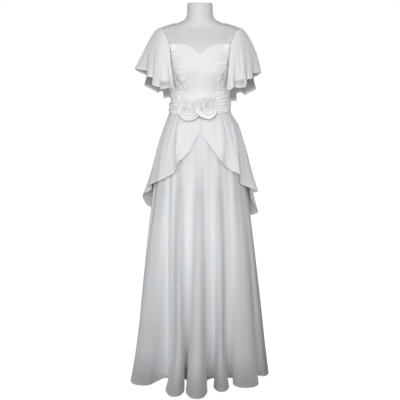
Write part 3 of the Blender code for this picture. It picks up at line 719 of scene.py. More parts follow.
def stitch_build(tree, given, line):
    """Short thread stitches that follow the line, each a little turned."""
    even = node_of(tree, "GeometryNodeCurveToPoints", mode="LENGTH", Curve=line, Length=given["Spacing"])
    grain = node_of(tree, "GeometryNodeMeshUVSphere", Segments=5, Rings=4, Radius=given["Radius"])
    places = {"Points": even.outputs["Points"], "Rotation": even.outputs["Rotation"]}
    put = node_of(tree, "GeometryNodeInstanceOnPoints", Instance=grain.outputs[0], Scale=(1, 1, 4), **places)
    return put.outputs[0]


cord_tree = growing("rolled_cord", {"Radius": 0.001, "Finish": None}, cord_build)
stitch_tree = growing("stitch_row", {"Spacing": 0.0035, "Radius": 0.0003, "Finish": None}, stitch_build)


def twisted(name, colour, rough, plies, depth):
    """A thread's finish, with its plies twisted round each other."""
    made, tree, shader = plain_finish(name, colour, rough)
    twist = pattern(tree, "ShaderNodeTexWave", "Object", Scale=plies)
    raised(tree, shader, twist.outputs["Fac"], depth)
    return made


thread = twisted("sewing_thread", (0.88, 0.88, 0.89), 0.5, 900.0, 0.00003)


def rolled_hem(name, surface, normal, finish, radius=0.0008, inset=3):
    """A rolled edge along the last row of a sheet, with a row of stitches a few millimetres above it."""
    last, above = surface[-1], surface[-1 - inset]
    edge = lines_of(name + "_roll", [(last - normal[-1] * 0.0003, False)])
    roll = grown(edge, cord_tree, "chiffon", Radius=radius, Finish=finish)
    row = lines_of(name + "_stitches", [(above + (last - above) * 0.35 + normal[-1] * 0.0001, False)])
    return [roll, grown(row, stitch_tree, "chiffon", Spacing=0.0040, Radius=0.0003, Finish=thread)]


def progress(value, start, end):
    """How far a value has gone from a start to an end: 0 before it, 1 beyond it."""
    return np.clip((value - start) / (end - start), 0, 1)


FLOUNCE_THICK = 0.0007
for side, way in SIDES.items():
    share = np.linspace(0, 1, 300)[None, :]
    strap = strap_surface(share, np.full_like(share, 0.94))
    beyond = strap_surface(share, np.full_like(share, 1.0))
    sideways = beyond - strap
    sideways /= np.linalg.norm(sideways, axis=-1, keepdims=True)
    up = np.cross(sideways, np.gradient(strap, axis=1))
    up /= np.linalg.norm(up, axis=-1, keepdims=True)
    up *= np.sign(up[..., 2:] + 1e-9)
    start = strap + up * (LIFT + SATIN_WALL + 0.0010 + CHIFFON_WALL)
    hem = grid(*(along(SLEEVE_HEM, column, share) for column in "xyz"))
    over_shoulder = np.sin(math.pi * share)[..., None]
    forward = grid(0 * share, -np.cos(math.pi * share), 0 * share)
    control = start + sideways * 0.034 * over_shoulder + forward * 0.022 + up * 0.004
    control[..., 2] -= 0.030 * (1 - over_shoulder[..., 0])
    down = np.linspace(0, 1, 60)[:, None, None]
    surface = start * (1 - down) ** 2 + control * 2 * down * (1 - down) + hem * down**2
    surface = surface + (through(hung(SLEEVE_FLUTES[side]), share) - hem) * down**6
    surface = surface * np.array([way, 1, 1])
    normal = outwards(surface)
    low = down[..., 0]
    # Painted light: the flounce greys towards its hem, and its inner face is painted all in shade.
    begin, end = SLEEVE_PAINTED_ROLL[side]
    turned = progress(share, begin, begin + 0.02) * progress(share, end, end - 0.02)
    # A rolled-under edge painted on the flat hem: shade on its underside and a highlight on its lip above.
    underside_shade = turned * progress(low, 0.925, 0.935) * progress(low, 0.985, 0.975)
    lip = 0.8 * turned * np.exp(-(((low - 0.915) / 0.012) ** 2))
    # Painted highlight along the hem's last rows.
    edge = np.maximum(np.clip(low * 30 - 29, 0, 1), lip)
    marks = {"stand": 0.08 * low + 0.60 * underside_shade, "hem": edge}
    name, node = f"flounce_{side}", f"sleeve_{side}"
    sleeve = cloth(name, surface, FLOUNCE_THICK, chiffon, node, normal, marks, {"stand": 1.0})
    edges = rolled_hem(name, surface, normal, chiffon)


# The sash. One bias band of satin-faced chiffon, laid in five soft uneven pleats round the waist over
# the top edge of the skirt, and narrower at the viewer's left.
SKIRT = table(
    "height half_width front back",
    [
        (0.02, 0.298, 0.234, 0.238),
        (0.15, 0.282, 0.222, 0.226),
        (0.30, 0.266, 0.208, 0.212),
        (0.50, 0.243, 0.188, 0.192),
        (0.70, 0.218, 0.165, 0.172),
        (0.80, 0.204, 0.152, 0.162),
        (0.90, 0.190, 0.139, 0.152),
        (1.00, 0.175, 0.126, 0.141),
        (1.05, 0.163, 0.118, 0.132),
        (1.10, 0.147, 0.110, 0.120),
        (1.15, 0.130, 0.101, 0.106),
        (1.20, 0.1200, 0.0935, 0.0960),
    ],
)
SASH_INSIDE = 0.0038
SASH_FOLD = 0.0050
SASH_RADIUS = 0.11
SASH_ROWS = 64
ROW_HEIGHT = 0.0011
columns = 288
turn = np.arange(columns) * 360 / columns
lean = np.sin(np.radians(turn))
facing = np.clip(np.cos(np.radians(turn)), 0, 1)
middle = 1.2045 + 0.0075 * lean - 0.002 * facing
half = 0.0215 + 0.0050 * lean + 0.004 * facing
bias_cloth = woven("bias_satin", (0.94, 0.938, 0.943), (0.34, 0.34, 0.35), rough=0.5, sheer=0.05, cloud=0.008)
rows, spread, pleat_shade = [], [], []
for share in np.concatenate([np.linspace(0, 1, SASH_ROWS), [1.0, 0.66, 0.33, 0.0]]):
    height = middle - half + 2 * half * share
    if len(rows) < SASH_ROWS:
        drift = 0.55 * np.sin(2 * np.radians(turn) + 0.7) + 0.30 * np.sin(5 * np.radians(turn) + 2.1)
        fold = (5 * share + drift * math.sin(math.pi * share)) % 1.0
        crown = 1 - (2 * fold - 0.85) ** 2
        swell = 0.62 + 0.38 * np.sin(3 * np.radians(turn) + 7 * share)
        edge = 1 - abs(2 * share - 1) ** 10
        bulge = SASH_FOLD * (0.15 + 0.95 * np.clip(crown, 0, 1) * swell) * (0.35 + 0.65 * edge)
        # Painted shade in the hollows between the pleats.
        pleat_shade.append(0.28 * np.clip(1 - crown, 0, 1) ** 2)
    else:
        bulge = 0 * turn
        pleat_shade.append(0 * turn)
    x, y = oval(SKIRT, turn, height, SASH_INSIDE + bulge)
    rows.append(grid(x, y, height))
    up = np.full(columns, len(rows) * ROW_HEIGHT)
    spread.append(np.stack([np.radians(turn) * SASH_RADIUS, up], axis=-1))
faces = strips(len(rows), columns, around=True, closed=True)
points, flat = np.concatenate(rows), np.concatenate(spread)
marks = {"stand": np.concatenate(pleat_shade)}
sash = piece("pleated_sash", points, faces, bias_cloth, "sash", flat, marks)


# The rosettes. Two roses, each wound from a folded bias strip of the sash's cloth and sewn on its
# front: an open one at the viewer's left, and a tight tall one at the right that laps over it.
# The line of each strip's folded lip, from its heart to its end: its place across and down in the picture
# in pixels, how far it stands off the sash, and how far the cloth runs in under the turn before it, in
# millimetres.
ROSES = {
    "l": [
        (186.2, 110.6, 28, 2.5), (184.6, 110.6, 28, 3), (184.6, 112.2, 28, 3.5), (186.8, 112.8, 28, 4),
        (188.6, 111.0, 28, 4.5), (187.8, 108.4, 27.5, 5), (184.8, 107.4, 27, 6), (182.0, 109.4, 26.5, 7),
        (181.6, 112.6, 26, 7.5), (184.2, 115.2, 25.5, 8), (188.4, 115.4, 25.5, 8.5), (192.0, 113.2, 25, 9),
        (193.2, 109.2, 24.5, 9.5), (191.6, 104.8, 23.5, 10), (187.6, 102.8, 22, 10.5),
        (183.2, 103.8, 20.5, 11), (180.2, 107.0, 19.5, 12), (179.6, 111.4, 19, 12), (181.4, 115.2, 19, 12),
        (184.9, 117.5, 19.5, 12), (189.0, 118.0, 20, 12), (193.4, 116.4, 20, 12), (196.4, 113.0, 20, 12),
        (197.0, 108.2, 18.5, 12), (194.8, 103.6, 17, 12), (190.4, 101.0, 15.5, 12), (184.8, 101.0, 14, 12),
        (180.2, 103.6, 13, 13), (177.9, 107.8, 13, 14), (178.0, 112.8, 13, 14), (180.3, 117.0, 13, 14),
        (184.2, 119.5, 13.5, 14), (188.9, 120.3, 14, 14), (193.6, 119.1, 13, 14), (197.4, 116.2, 11, 14),
        (199.6, 112.0, 8, 14),
    ],
    "r": [
        (208.9, 106.4, 32, 2.5), (207.6, 107.6, 32, 3), (208.6, 109.2, 32, 3.5), (210.3, 107.8, 32, 4),
        (210.2, 104.8, 31.5, 4.5), (207.6, 103.2, 30.5, 5), (205.4, 105.6, 29.5, 6), (206.0, 109.6, 29, 6.5),
        (208.8, 111.6, 28.5, 7.5), (211.6, 109.8, 28, 8), (212.6, 105.4, 27.5, 8.5),
        (210.8, 101.2, 26.5, 9.5),
        (206.6, 99.8, 25.5, 10), (203.2, 102.6, 25, 10.5), (202.4, 107.2, 25, 11), (204.0, 112.0, 24.5, 11.5),
        (208.4, 114.8, 24, 11.5), (212.8, 112.8, 23.5, 11.5), (214.4, 107.6, 22.5, 12),
        (213.0, 101.8, 21, 12.5), (209.2, 98.9, 20, 13), (204.2, 98.6, 20, 13.5), (199.4, 101.0, 20.5, 14),
        (196.6, 106.0, 21, 14.5), (197.0, 111.4, 21, 15), (199.9, 115.2, 20.5, 15), (204.2, 117.4, 20, 15),
        (209.0, 118.7, 19.5, 14.5), (213.2, 117.0, 19, 14), (216.2, 112.8, 18, 14), (217.0, 107.6, 16, 14),
        (215.2, 102.0, 14.5, 14), (210.8, 98.4, 13, 14), (204.8, 97.8, 12, 14), (199.0, 100.0, 11, 13),
    ],
}
ROSE_FRONT = -0.13
# Across the folded strip: how much of it is tucked in, how far it leans out, and how far below the lip.
FOLDED_STRIP = table(
    "across tucked beyond below",
    [
        (0.00, 1.00, 0.0000, 0.0120),
        (0.30, 0.70, 0.0000, 0.0095),
        (0.55, 0.35, 0.0000, 0.0050),
        (0.75, 0.10, 0.0000, 0.0012),
        (0.85, 0.00, 0.0004, 0.0000),
        (0.93, 0.00, 0.0016, 0.0014),
        (1.00, 0.00, 0.0012, 0.0050),
    ],
)


def wound(rows):
    """The keys of a rose's line: the share of its length, x, how far it stands off, z and the tuck."""
    across, down, stands, tuck = np.array(rows).T
    x, z = seen_at(across, down, ROSE_FRONT)
    reach = np.concatenate([[0], np.cumsum(np.hypot(np.diff(x), np.diff(z)))])
    share = (reach / reach[-1]).round(3)
    return np.stack([share, x.round(4), stands / 1000, z.round(4), tuck / 1000], axis=1)


ROSE_STRIP = {"l": (0.55, 0.022), "r": (0.59, 0.022)}
ROSE_THICK = 0.0008
OUTER_LEAN = 0.0055
base = SASH_INSIDE + SASH_FOLD + 0.0012
for side, flat in ROSE_STRIP.items():
    share = np.linspace(0, 1, 340)
    x, stands, z, tuck = through(wound(ROSES[side]), share).T[:, :, None]
    across = np.linspace(0, 1, 15)[None, :]
    along_x, along_z = np.gradient(x, axis=0), np.gradient(z, axis=0)
    step = np.hypot(along_x, along_z)
    outer = progress(z, 1.192, 1.178) * progress(share, 0.50, 0.56)[:, None]
    rim = progress(across, 0.86, 1.0)
    tucked = tuck * along(FOLDED_STRIP, "tucked", across)
    aside = along(FOLDED_STRIP, "beyond", across) - tucked + OUTER_LEAN * outer * rim
    x = x + along_z / step * aside
    z = z - along_x / step * aside
    stands = stands - along(FOLDED_STRIP, "below", across) * progress(stands, 0, 0.016)
    turn = np.degrees(np.arcsin(x / (along(SKIRT, "half_width", z) + base)))
    surface = grid(x, oval(SKIRT, turn, z, base)[1] - stands, z)
    normal = outwards(surface, np.array([0, -1.0, 0]))
    # Painted shade on each turn's rolled lip, deepest on the lower outer turn as a painted shadow under the
    # rose.
    marks = {"stand": np.clip((0.30 + 0.70 * outer) * rim**0.4, 0, 1)}
    bloom = cloth(f"rose_{side}", surface, ROSE_THICK, bias_cloth, f"rosette_{side}", normal, marks)


# The skirt. A flared front panel and two back ones in chiffon over lining, smooth over the hips and
# falling into deep round folds at the hem, each as deep as its cloth is full.
HEM = 0.020
FOLDS_START = 1.080
FOLD_GROWTH = 1.15
FOLDS = table(
    "waist x y points length neck_before neck_after full above aside fill",
    [
        (-167, -0.044, 0.130, -170, 0.116, 0.027, 0.027, 0.036, 0.75, 0, 0),
        (-142, -0.118, 0.112, -146, 0.108, 0.026, 0.026, 0.037, 0.75, 0, 0),
        (-116, -0.188, 0.090, -120, 0.076, 0.027, 0.027, 0.037, 0.75, 0, 0),
        (-91, -0.246, 0.033, -95, 0.046, 0.031, 0.031, 0.038, 0.90, 0, 0),
        (-54, -0.240, -0.038, -8, 0.095, 0.052, 0.092, 0.054, 1.12, 0.012, 0),
        (-24, -0.106, -0.068, 0, 0.169, 0.029, 0.029, 0.040, 0.50, 0.024, 0.065),
        (-2, -0.014, -0.092, 0, 0.164, 0.042, 0.042, 0.045, 0.85, 0, 0.065),
        (24, 0.091, -0.062, 0, 0.130, 0.026, 0.026, 0.033, 0.50, -0.006, 0.060),
        (48, 0.194, -0.060, 4, 0.095, 0.048, 0.048, 0.055, 1.10, -0.014, 0.045),
        (84, 0.256, 0.002, 83, 0.049, 0.036, 0.036, 0.041, 0.90, 0, 0),
        (115, 0.184, 0.100, 121, 0.080, 0.030, 0.030, 0.040, 0.75, 0, 0),
        (142, 0.112, 0.122, 150, 0.104, 0.028, 0.028, 0.038, 0.75, 0, 0),
        (167, 0.042, 0.135, 172, 0.110, 0.026, 0.026, 0.035, 0.75, 0, 0),
    ],
)
FOLD_OUTLINE = table(
    "waist_share length_share side",
    [
        (0.07, 0.00, -1.00),
        (0.24, 0.60, -1.00),
        (0.39, 0.92, -0.60),
        (0.50, 1.00, 0.00),
        (0.61, 0.92, 0.60),
        (0.76, 0.60, 1.00),
        (0.93, 0.00, 1.00),
    ],
)
skirt_cloth = woven("skirt_chiffon", (0.955, 0.96, 0.97), (0.45, 0.45, 0.465), rough=0.6, sheer=0.12)


def hem_keys(flared):
    """The closed hem line in plan: for each key its turn at the waist, x, y and how far out it stands.

    Higher up each fold is narrower, some stand aside and the hollows between them fill, and all flare
    to full width and depth at the hem.
    """
    waist = FOLDS["waist"]
    before = (waist + np.roll(waist, 1)) / 2
    after = (waist + np.roll(waist, -1)) / 2
    before[0] -= 180
    after[-1] += 180
    keys = []
    for k in range(len(waist)):
        heading = math.radians(FOLDS["points"][k])
        ahead = np.array([math.sin(heading), -math.cos(heading)])
        beside = np.array([math.cos(heading), math.sin(heading)])
        neck = np.array([FOLDS["x"][k] + (0 if flared else FOLDS["aside"][k]), FOLDS["y"][k]])
        fill = 0 if flared else FOLDS["fill"][k]
        for share, down, side in zip(*FOLD_OUTLINE.values()):
            narrow = 1 if flared else FOLDS["above"][k]
            width = FOLDS["full"][k] * narrow
            if down == 0:
                width = FOLDS["neck_after" if side > 0 else "neck_before"][k]
            place = neck + ahead * max(FOLDS["length"][k] * down, fill) + beside * width * side
            keys.append((before[k] + (after[k] - before[k]) * share, *place, down))
    return np.array(keys)


FLARED = hem_keys(True)
ABOVE = hem_keys(False)


def hem_point(keys, place):
    """The closed curve through a hem's keys, at any place counted in keys."""
    count = len(keys)
    key = np.floor(place).astype(int)
    s = (place - key)[..., None]
    corner = [keys[(key + k) % count].copy() for k in (-1, 0, 1, 2)]
    for k, around in zip((-1, 0, 1, 2), corner):
        around[..., 0] += 360 * np.floor((key + k) / count)
    p, q, r, t = corner
    return 0.5 * (2 * q + (r - p) * s + (2 * p - 5 * q + 4 * r - t) * s**2 + (3 * q - p - 3 * r + t) * s**3)


def skirt_surface(place, height):
    """Points on the skirt, and how much shade is painted on it there: on the folds, low down, high up and at
    one side.
    """
    flare = progress(height, 0.30, HEM) ** 1.6
    hem = hem_point(ABOVE, place) * (1 - flare[..., None]) + hem_point(FLARED, place) * flare[..., None]
    turn = hem[..., 0]
    ripple = 0.0016 * np.sin(np.radians(17 * turn + 20)) + 0.0012 * np.sin(np.radians(31 * turn + 130))
    fade = progress(height, 1.19, 0.94)
    x, y = oval(SKIRT, turn, height, ripple * fade)
    wide = along(SKIRT, "half_width", height) / along(SKIRT, "half_width", HEM)
    deep = along(SKIRT, "front", height) / along(SKIRT, "front", HEM)
    drop = progress(height, FOLDS_START, HEM)
    open_by = drop**FOLD_GROWTH
    surface = grid(x + open_by * (hem[..., 1] * wide - x), y + open_by * (hem[..., 2] * deep - y), height)
    # Painted shade on the folds that stand out, for the shaded hollow behind the sheer cloth.
    stand = np.clip(hem[..., 3], 0, 1) * np.clip(5.0 * drop, 0, 1)
    # Painted shade that deepens on the folds near the hem and over the whole skirt towards the top.
    low = 0.07 * progress(height, 0.45, 0.23) + 0.42 * progress(height, 0.17, 0.05)
    high = 0.05 + 0.29 * progress(height, 0.70, 1.00)
    # Painted shade on the folds by the right side seam, growing from the hips down.
    side = progress(turn, 62, 70) * progress(turn, 104, 94)
    side_shade = 0.45 * side * progress(height, 0.85, 0.45)
    return surface, np.clip(high + side_shade + stand**2 * (0.40 + low), 0, 1)


def place_of_turn(turn):
    """The place along the hem, counted in keys, whose cloth hangs from this turn of the waist."""
    count = len(ABOVE)
    return float(halved(-count, 2 * count, lambda place: hem_point(ABOVE, np.array([place]))[0, 0] < turn))


SKIRT_SEAM = 0.00018
SKIRT_TOP = WAIST - 0.0003
UNDER_SASH_RADIUS = 0.095
gap = math.degrees(SKIRT_SEAM / UNDER_SASH_RADIUS)
PANELS = {
    "back_l": (-180 + gap, -SIDE_SEAM - gap, (0.72, 1.20), 0.54),
    "front": (-SIDE_SEAM + gap, SIDE_SEAM - gap, (1.55, 1.20), 1.16),
    "back_r": (SIDE_SEAM + gap, 180 - gap, (0.72, 1.20), 0.54),
}
for name, (begin, end, flat, area) in PANELS.items():
    first, last = place_of_turn(begin), place_of_turn(end)
    place = np.linspace(first, last, round((last - first) * 7) + 1)[None, :]
    height = (SKIRT_TOP - (SKIRT_TOP - HEM) * np.linspace(0, 1, 76))[:, None]
    surface, stand = skirt_surface(place, height)
    step = 0.01
    normal = np.cross(
        skirt_surface(place + step, height)[0] - skirt_surface(place - step, height)[0],
        skirt_surface(place, height - step)[0] - skirt_surface(place, height + step)[0],
    )
    normal /= np.linalg.norm(normal, axis=-1, keepdims=True)
    if (normal[..., :2] * surface[..., :2]).sum() < 0:
        normal = -normal
    marks = {"stand": stand}
    panel = cloth(
        f"gown_{name}", surface, CHIFFON_WALL, skirt_cloth, f"skirt_{name}", normal, marks
    )
    edges = rolled_hem(f"gown_{name}", surface, normal, skirt_cloth, 0.0009, 1)


# The overskirt. Two flared chiffon panels caught under the sash, which part at the centre front and
# fall lower towards the back, with a narrow rolled hem that ripples as it goes.
OVERSKIRT_HEM = {
    "r": table(
        "turn hem out",
        [
            (2.0, 1.112, 0.003),
            (7.5, 1.081, 0.0045),
            (17, 1.042, 0.010),
            (24, 0.999, 0.018),
            (28, 0.981, 0.014),
            (34, 0.968, 0.009),
            (41, 0.949, 0.013),
            (47, 0.932, 0.020),
            (51, 0.908, 0.014),
            (55, 0.893, 0.007),
            (66, 0.876, 0.012),
            (80, 0.852, 0.050),
            (92, 0.824, 0.012),
            (107, 0.737, 0.047),
            (121, 0.712, 0.015),
            (136, 0.704, 0.038),
            (150, 0.695, 0.015),
            (165, 0.692, 0.034),
            (180, 0.690, 0.018),
        ],
    ),
    "l": table(
        "turn hem out",
        [
            (-2.0, 1.112, 0.003),
            (7.5, 1.075, 0.0045),
            (12, 1.046, 0.008),
            (19, 1.014, 0.013),
            (24.5, 0.990, 0.016),
            (28, 0.956, 0.011),
            (34, 0.941, 0.009),
            (50, 0.911, 0.013),
            (64, 0.893, 0.016),
            (76, 0.876, 0.021),
            (86, 0.855, 0.008),
            (99, 0.818, 0.046),
            (111, 0.768, 0.034),
            (121, 0.744, 0.012),
            (131, 0.735, 0.036),
            (142, 0.718, 0.014),
            (156, 0.705, 0.034),
            (168, 0.697, 0.015),
            (180, 0.692, 0.020),
        ],
    ),
}
OVERSKIRT_TOP = 1.1965
OVERSKIRT_GATHER = {"l": 0.000, "r": 0.013}
# Deep folds that run down from the sash: the turn of each at its foot and at its top, its width in
# degrees, how far it stands out at the hem, and how far it leans over towards the side.
DEEP_FOLDS = {
    "r": [
        (26, 39, 4.0, 0.006, 0.5), (44.5, 62, 4.0, 0.010, 2.2), (68, 78, 5.0, 0.004, 0.0),
        (120, 120, 6, 0.006, 1.5), (160, 160, 6, 0.006, 1.5),
    ],
    "l": [
        (25, 39, 4.0, 0.010, 1.5), (54, 60, 5.0, 0.003, 0.0), (76, 80, 5.0, 0.005, 1.0),
        (126, 126, 6, 0.006, 1.5), (160, 160, 6, 0.006, 1.5),
    ],
}
over_cloth = woven("overskirt_chiffon", (0.84, 0.84, 0.85), (0.60, 0.60, 0.62), rough=0.58, sheer=0.15)
OVERSKIRT_GAP = 0.00024
OVERSKIRT_THICK = 0.0009
OVERSKIRT_LIES = 0.0021
# The panels lie flat under the sash and stand free from a little below it.
CAUGHT, FREE = 1.178, 1.130
gap = math.degrees(OVERSKIRT_GAP / UNDER_SASH_RADIUS)
for side, way in SIDES.items():
    rows_of = OVERSKIRT_HEM[side]
    start = way * 2.0 + gap
    turn = np.linspace(start, 180 - gap, 300)[None, :]
    drop = np.linspace(0, 1, 60)[:, None]
    hem = along(rows_of, "hem", turn)
    height = OVERSKIRT_TOP + (hem - OVERSKIRT_TOP) * drop
    spread = progress(height, CAUGHT, FREE)
    hip = 0.0070 + OVERSKIRT_GATHER[side] * np.sin(np.radians(turn)) ** 2
    out = OVERSKIRT_LIES + (hip - OVERSKIRT_LIES) * spread
    out = out + (along(rows_of, "out", turn) - hip) * drop**3
    gathers = 0.0012 * np.sin(np.radians(24 * turn + 40)) + 0.0008 * np.sin(np.radians(41 * turn))
    out = out + gathers * spread * (1 - drop)
    leaning = 0 * turn * drop
    for foot, head, width, stands, lean in DEEP_FOLDS[side]:
        at = head + (foot - head) * drop
        ridge = np.exp(-(((turn - at) / width) ** 2))
        out = out + stands * ridge * spread * (0.15 + 0.85 * drop**0.8)
        leaning = leaning + lean * np.exp(-(((turn - at - 1.0) / width) ** 2)) * drop**1.2
    x, y = oval(SKIRT, turn + leaning, height, out)
    surface = grid(x, y, height) * np.array([way, 1, 1])
    normal = outwards(surface)
    # Painted shade where the panel stands out from the skirt, and none on its inner face.
    stand = 0.45 * progress(out, 0.010, 0.055) * np.clip(drop * 1.5, 0, 1)
    # Painted highlight along the hem, fading out near the centre front.
    edge = 0.7 * progress(drop, 0.966, 0.986) * progress(turn, 6, 16)
    marks = {"stand": stand, "hem": edge}
    name, node = f"over_{side}", f"overskirt_{side}"
    panel = cloth(
        name, surface, OVERSKIRT_THICK, over_cloth, node, normal, marks, {"stand": 0.0}
    )
    edges = rolled_hem(name, surface, normal, over_cloth, inset=1)


# The lace and beading. Corded sprays of leaves and small flowers, sewn down on the side panels and
# strewn up the straps, with seed beads along every stem.
lace_cord = twisted("lace_cord", (0.92, 0.92, 0.93), 0.6, 700.0, 0.00005)
fine_cord = twisted("fine_cord", (0.70, 0.70, 0.71), 0.65, 900.0, 0.00004)
pearl, tree, shader = plain_finish("seed_bead", (0.93, 0.93, 0.94), 0.16)
shader.inputs["Coat Weight"].default_value = 0.6
shader.inputs["Coat Roughness"].default_value = 0.08
glints = pattern(tree, "ShaderNodeTexNoise", "Object", Scale=180.0)
tint = tones(tree, glints.outputs[0], [(0.35, (0.88, 0.90, 0.93)), (0.65, (0.96, 0.94, 0.93))])
feed(tree, tint, shader.inputs["Base Color"])


def bead_build(tree, given, line):
    """Round beads along the lines, a little uneven in size."""
    even = node_of(tree, "GeometryNodeResampleCurve", mode="LENGTH", Curve=line, Length=given["Spacing"])
    bead = node_of(tree, "GeometryNodeMeshUVSphere", Segments=7, Rings=5, Radius=given["Radius"])
    smooth = joined(tree, "GeometryNodeSetShadeSmooth", bead.outputs[0])
    size = node_of(tree, "FunctionNodeRandomValue", data_type="FLOAT", Seed=given["Seed"])
    size.inputs[2].default_value = 0.7
    size.inputs[3].default_value = 1.25
    places = {"Points": even.outputs[0], "Scale": size.outputs[1]}
    put = node_of(tree, "GeometryNodeInstanceOnPoints", Instance=smooth, **places)
    return put.outputs[0]


bead_tree = growing("bead_row", {"Spacing": 0.005, "Radius": 0.0011, "Seed": 3, "Finish": None}, bead_build)


def leaf(length, width):
    """A pointed leaf's outline, from its stalk to its tip and back."""
    t = np.linspace(0, 2 * math.pi, 12, endpoint=False)
    return np.stack([width * np.sin(t) * np.sin(t / 2) ** 0.6, length * (1 - np.cos(t)) / 2], axis=1)


def turned_by(shape, degrees, place):
    """A flat outline turned clockwise and moved to its place."""
    angle = math.radians(degrees)
    spin = np.array([[math.cos(angle), math.sin(angle)], [-math.sin(angle), math.cos(angle)]])
    return shape @ spin + np.array(place)


def spray(path, leaf_every, flower_every, size):
    """Flat outlines of a stem with leaves on alternate sides and small flowers: (points, closed) pairs."""
    steps = np.linalg.norm(np.diff(path, axis=0), axis=1)
    reach = np.concatenate([[0], np.cumsum(steps)])
    found = [(path, False)]

    def at(d):
        """The place on the stem at a distance along it."""
        return np.array([np.interp(d, reach, path[:, 0]), np.interp(d, reach, path[:, 1])])

    side = 1
    d = leaf_every * 0.5
    while d < reach[-1]:
        ahead = at(d + 0.002) - at(d - 0.002)
        heading = math.degrees(math.atan2(ahead[0], ahead[1]))
        found.append((turned_by(leaf(size, size * 0.26), heading + side * 52, at(d)), True))
        side = -side
        d += leaf_every
    d = flower_every * 0.4
    while d < reach[-1]:
        for petal in range(5):
            found.append((turned_by(leaf(size * 0.72, size * 0.24), petal * 72 + 20 * side, at(d)), True))
        d += flower_every
    return found


def worn(shape, bust, lift):
    """Flat outlines in turns and heights put on the body, just above its cloth."""
    turn, height = shape[:, 0], shape[:, 1]

    def on_body(across, up):
        """The points on the body, moved a little in turn and in height."""
        return grid(*torso(turn + across, height + up, bust), height + up)

    point = on_body(0, 0)
    aside = on_body(0.5, 0) - on_body(-0.5, 0)
    above = on_body(0, 0.002) - on_body(0, -0.002)
    normal = np.cross(aside, above)
    normal /= np.linalg.norm(normal, axis=1, keepdims=True)
    normal *= np.sign((normal[:, :2] * point[:, :2]).sum(axis=1, keepdims=True))
    return point + normal * lift


def worked_leaves(name, shapes, finish):
    """Leaves and petals in close thread work: each a low dome on its outline, closed below."""
    points, faces = [], []
    for outline, heart, under in shapes:
        first = len(points)
        count = len(outline)
        points += [*outline, heart, under]
        for k in range(count):
            after = first + (k + 1) % count
            faces += [(first + k, after, first + count), (after, first + k, first + count + 1)]
    mesh = bpy.data.meshes.new(name)
    mesh.from_pydata([tuple(p) for p in points], [], faces)
    mesh.shade_smooth()
    mesh.materials.append(finish)
    made = placed(name, mesh)
    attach(made, "root")


CORD = 0.00045


def sewn_on(name, shapes, put, slot, finish, bead, spacing, seed):
    """One piece's lace: its leaves, the cords round them and along the stems, and beads on the stems."""
    leaves, cords, stems = [], [], []
    for shape, closed in shapes:
        low = put(shape, 0.0004)
        cords.append((low, closed))
        if closed:
            middle = shape.mean(axis=0, keepdims=True)
            outward = put(middle, 0.001)[0] - put(middle, 0)[0]
            facing = np.dot(np.cross(low[3] - low[0], low[6] - low[0]), outward)
            low = low if facing > 0 else low[::-1]
            leaves.append((low, put(middle, 0.0013)[0], put(middle, -0.0002)[0]))
        else:
            stems.append((put(shape, 0.0010), False))
    worked_leaves(f"{name}_leaves", leaves, finish)
    grown(lines_of(f"{name}_cords", cords), cord_tree, slot, Radius=CORD, Finish=finish)
    line = lines_of(f"{name}_beads", stems)
    grown(line, bead_tree, slot, Spacing=spacing, Radius=bead, Seed=seed, Finish=pearl)


# Each stem of the side lace, as turns and heights from its top to its foot.
STEMS = {
    "l": [
        [(40, 1.440), (47, 1.405), (42, 1.370), (50, 1.335), (43, 1.300), (50, 1.265), (44, 1.232)],
        [(62, 1.385), (57, 1.350), (64, 1.315), (58, 1.280), (64, 1.245)],
        [(78, 1.355), (73, 1.320), (80, 1.285), (74, 1.250)],
        [(33, 1.440), (34, 1.405), (37, 1.375), (33, 1.345), (27, 1.318), (20, 1.296)],
        [(35, 1.330), (30, 1.303), (24, 1.282), (20, 1.262)],
        [(38, 1.300), (34, 1.270), (30, 1.246)],
    ],
    "r": [
        [(38, 1.442), (45, 1.405), (40, 1.370), (48, 1.335), (41, 1.300), (49, 1.265), (43, 1.232)],
        [(60, 1.390), (56, 1.350), (63, 1.315), (57, 1.280), (63, 1.245)],
        [(78, 1.355), (73, 1.320), (80, 1.285), (74, 1.250)],
        [
            (31, 1.440), (34, 1.410), (32, 1.380), (36, 1.350),
            (33, 1.318), (36, 1.285), (33, 1.252), (37, 1.225),
        ],
    ],
}
AROUND = 0.125
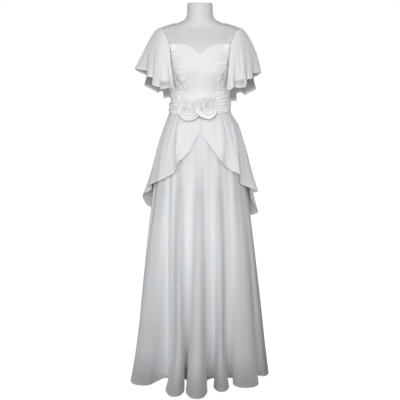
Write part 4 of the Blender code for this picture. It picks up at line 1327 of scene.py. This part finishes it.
# On each strap: where a spray starts and ends along it, how far across it runs, and its size.
TRAILS = {
    "l": [(0.03, 0.17, 0.45, 0.0080), (0.05, 0.36, 0.84, 0.0075), (0.60, 0.95, 0.60, 0.0085)],
    "r": [(0.02, 0.12, 0.40, 0.0080), (0.03, 0.36, 0.84, 0.0080), (0.60, 0.95, 0.60, 0.0085)],
}
STRAP_SIZE = np.array([0.055, 0.230])
for side, way in SIDES.items():
    shapes = []
    for stem in STEMS[side]:
        keys = np.array(stem)
        t = np.linspace(0, len(keys) - 1, 14 * len(keys))
        smooth = np.stack([np.interp(t, np.arange(len(keys)), keys[:, k]) for k in (0, 1)], axis=1)
        for _ in range(10):
            smooth[1:-1] = (smooth[:-2] + 2 * smooth[1:-1] + smooth[2:]) / 4
        flat = np.stack([np.radians(smooth[:, 0]) * AROUND, smooth[:, 1]], axis=1)
        shapes += spray(flat, 0.0080, 0.028, 0.0130)

    def on_the_side(shape, lift):
        """A flat outline laid on the side panel."""
        turn = way * np.degrees(shape[:, 0] / AROUND)
        limit = along(BODICE_TOP, "height", np.abs(turn)) - 0.002
        spot = np.stack([turn, np.clip(shape[:, 1], 1.205, limit)], axis=1)
        return worn(spot, CUP, LIFT + SATIN_WALL + lift)

    sewn_on(f"side_lace_{side}", shapes, on_the_side, "lace", lace_cord, 0.0012, 0.0046, 3)

    shapes = []
    for begin, end, across, leaves in TRAILS[side]:
        over = np.linspace(begin, end, 30)
        flat = np.stack([across + 0.08 * np.sin(14 * over + 6 * across), over], axis=1)
        shapes += spray(flat * STRAP_SIZE, 0.012, 0.034, leaves)

    def on_the_strap(shape, lift):
        """A flat outline laid on the strap."""
        shape = np.clip(shape / STRAP_SIZE, (0.04, 0.015), (0.96, 0.985))
        on = strap_surface(shape[:, 1], shape[:, 0])
        away = on - np.array([0, 0.012, 1.40])
        away[:, 0] = 0.35 * on[:, 0]
        away[:, 1] *= 1.6
        away /= np.linalg.norm(away, axis=1, keepdims=True)
        return (on + away * (LIFT + CHIFFON_WALL + lift)) * np.array([way, 1, 1])

    sewn_on(f"strap_lace_{side}", shapes, on_the_strap, "sheer_lace", fine_cord, 0.0009, 0.0095, 5)

# Short rows of larger beads at the right: at the top of the sleeve's seam, and where the strap, the last
# one laid above, leaves the bodice.
seam_row = [(0.1434, -0.0643, 1.4754), (0.1487, -0.0592, 1.4820), (0.1559, -0.0527, 1.4878)]
BEAD_ROWS = {
    "inner": [(0.30, 0.030), (0.40, 0.055), (0.52, 0.035)],
    "outer": [(0.72, 0.018), (0.86, 0.050), (0.74, 0.085), (0.88, 0.110)],
}
rows = {name: on_the_strap(np.array(row) * STRAP_SIZE, 0.0016) for name, row in BEAD_ROWS.items()}
for name, row in {"shoulder": seam_row, **rows}.items():
    line = lines_of(f"{name}_beads", [(row, False)])
    grown(line, bead_tree, "sheer_lace", Spacing=0.0046, Radius=0.0021, Seed=7, Finish=pearl)
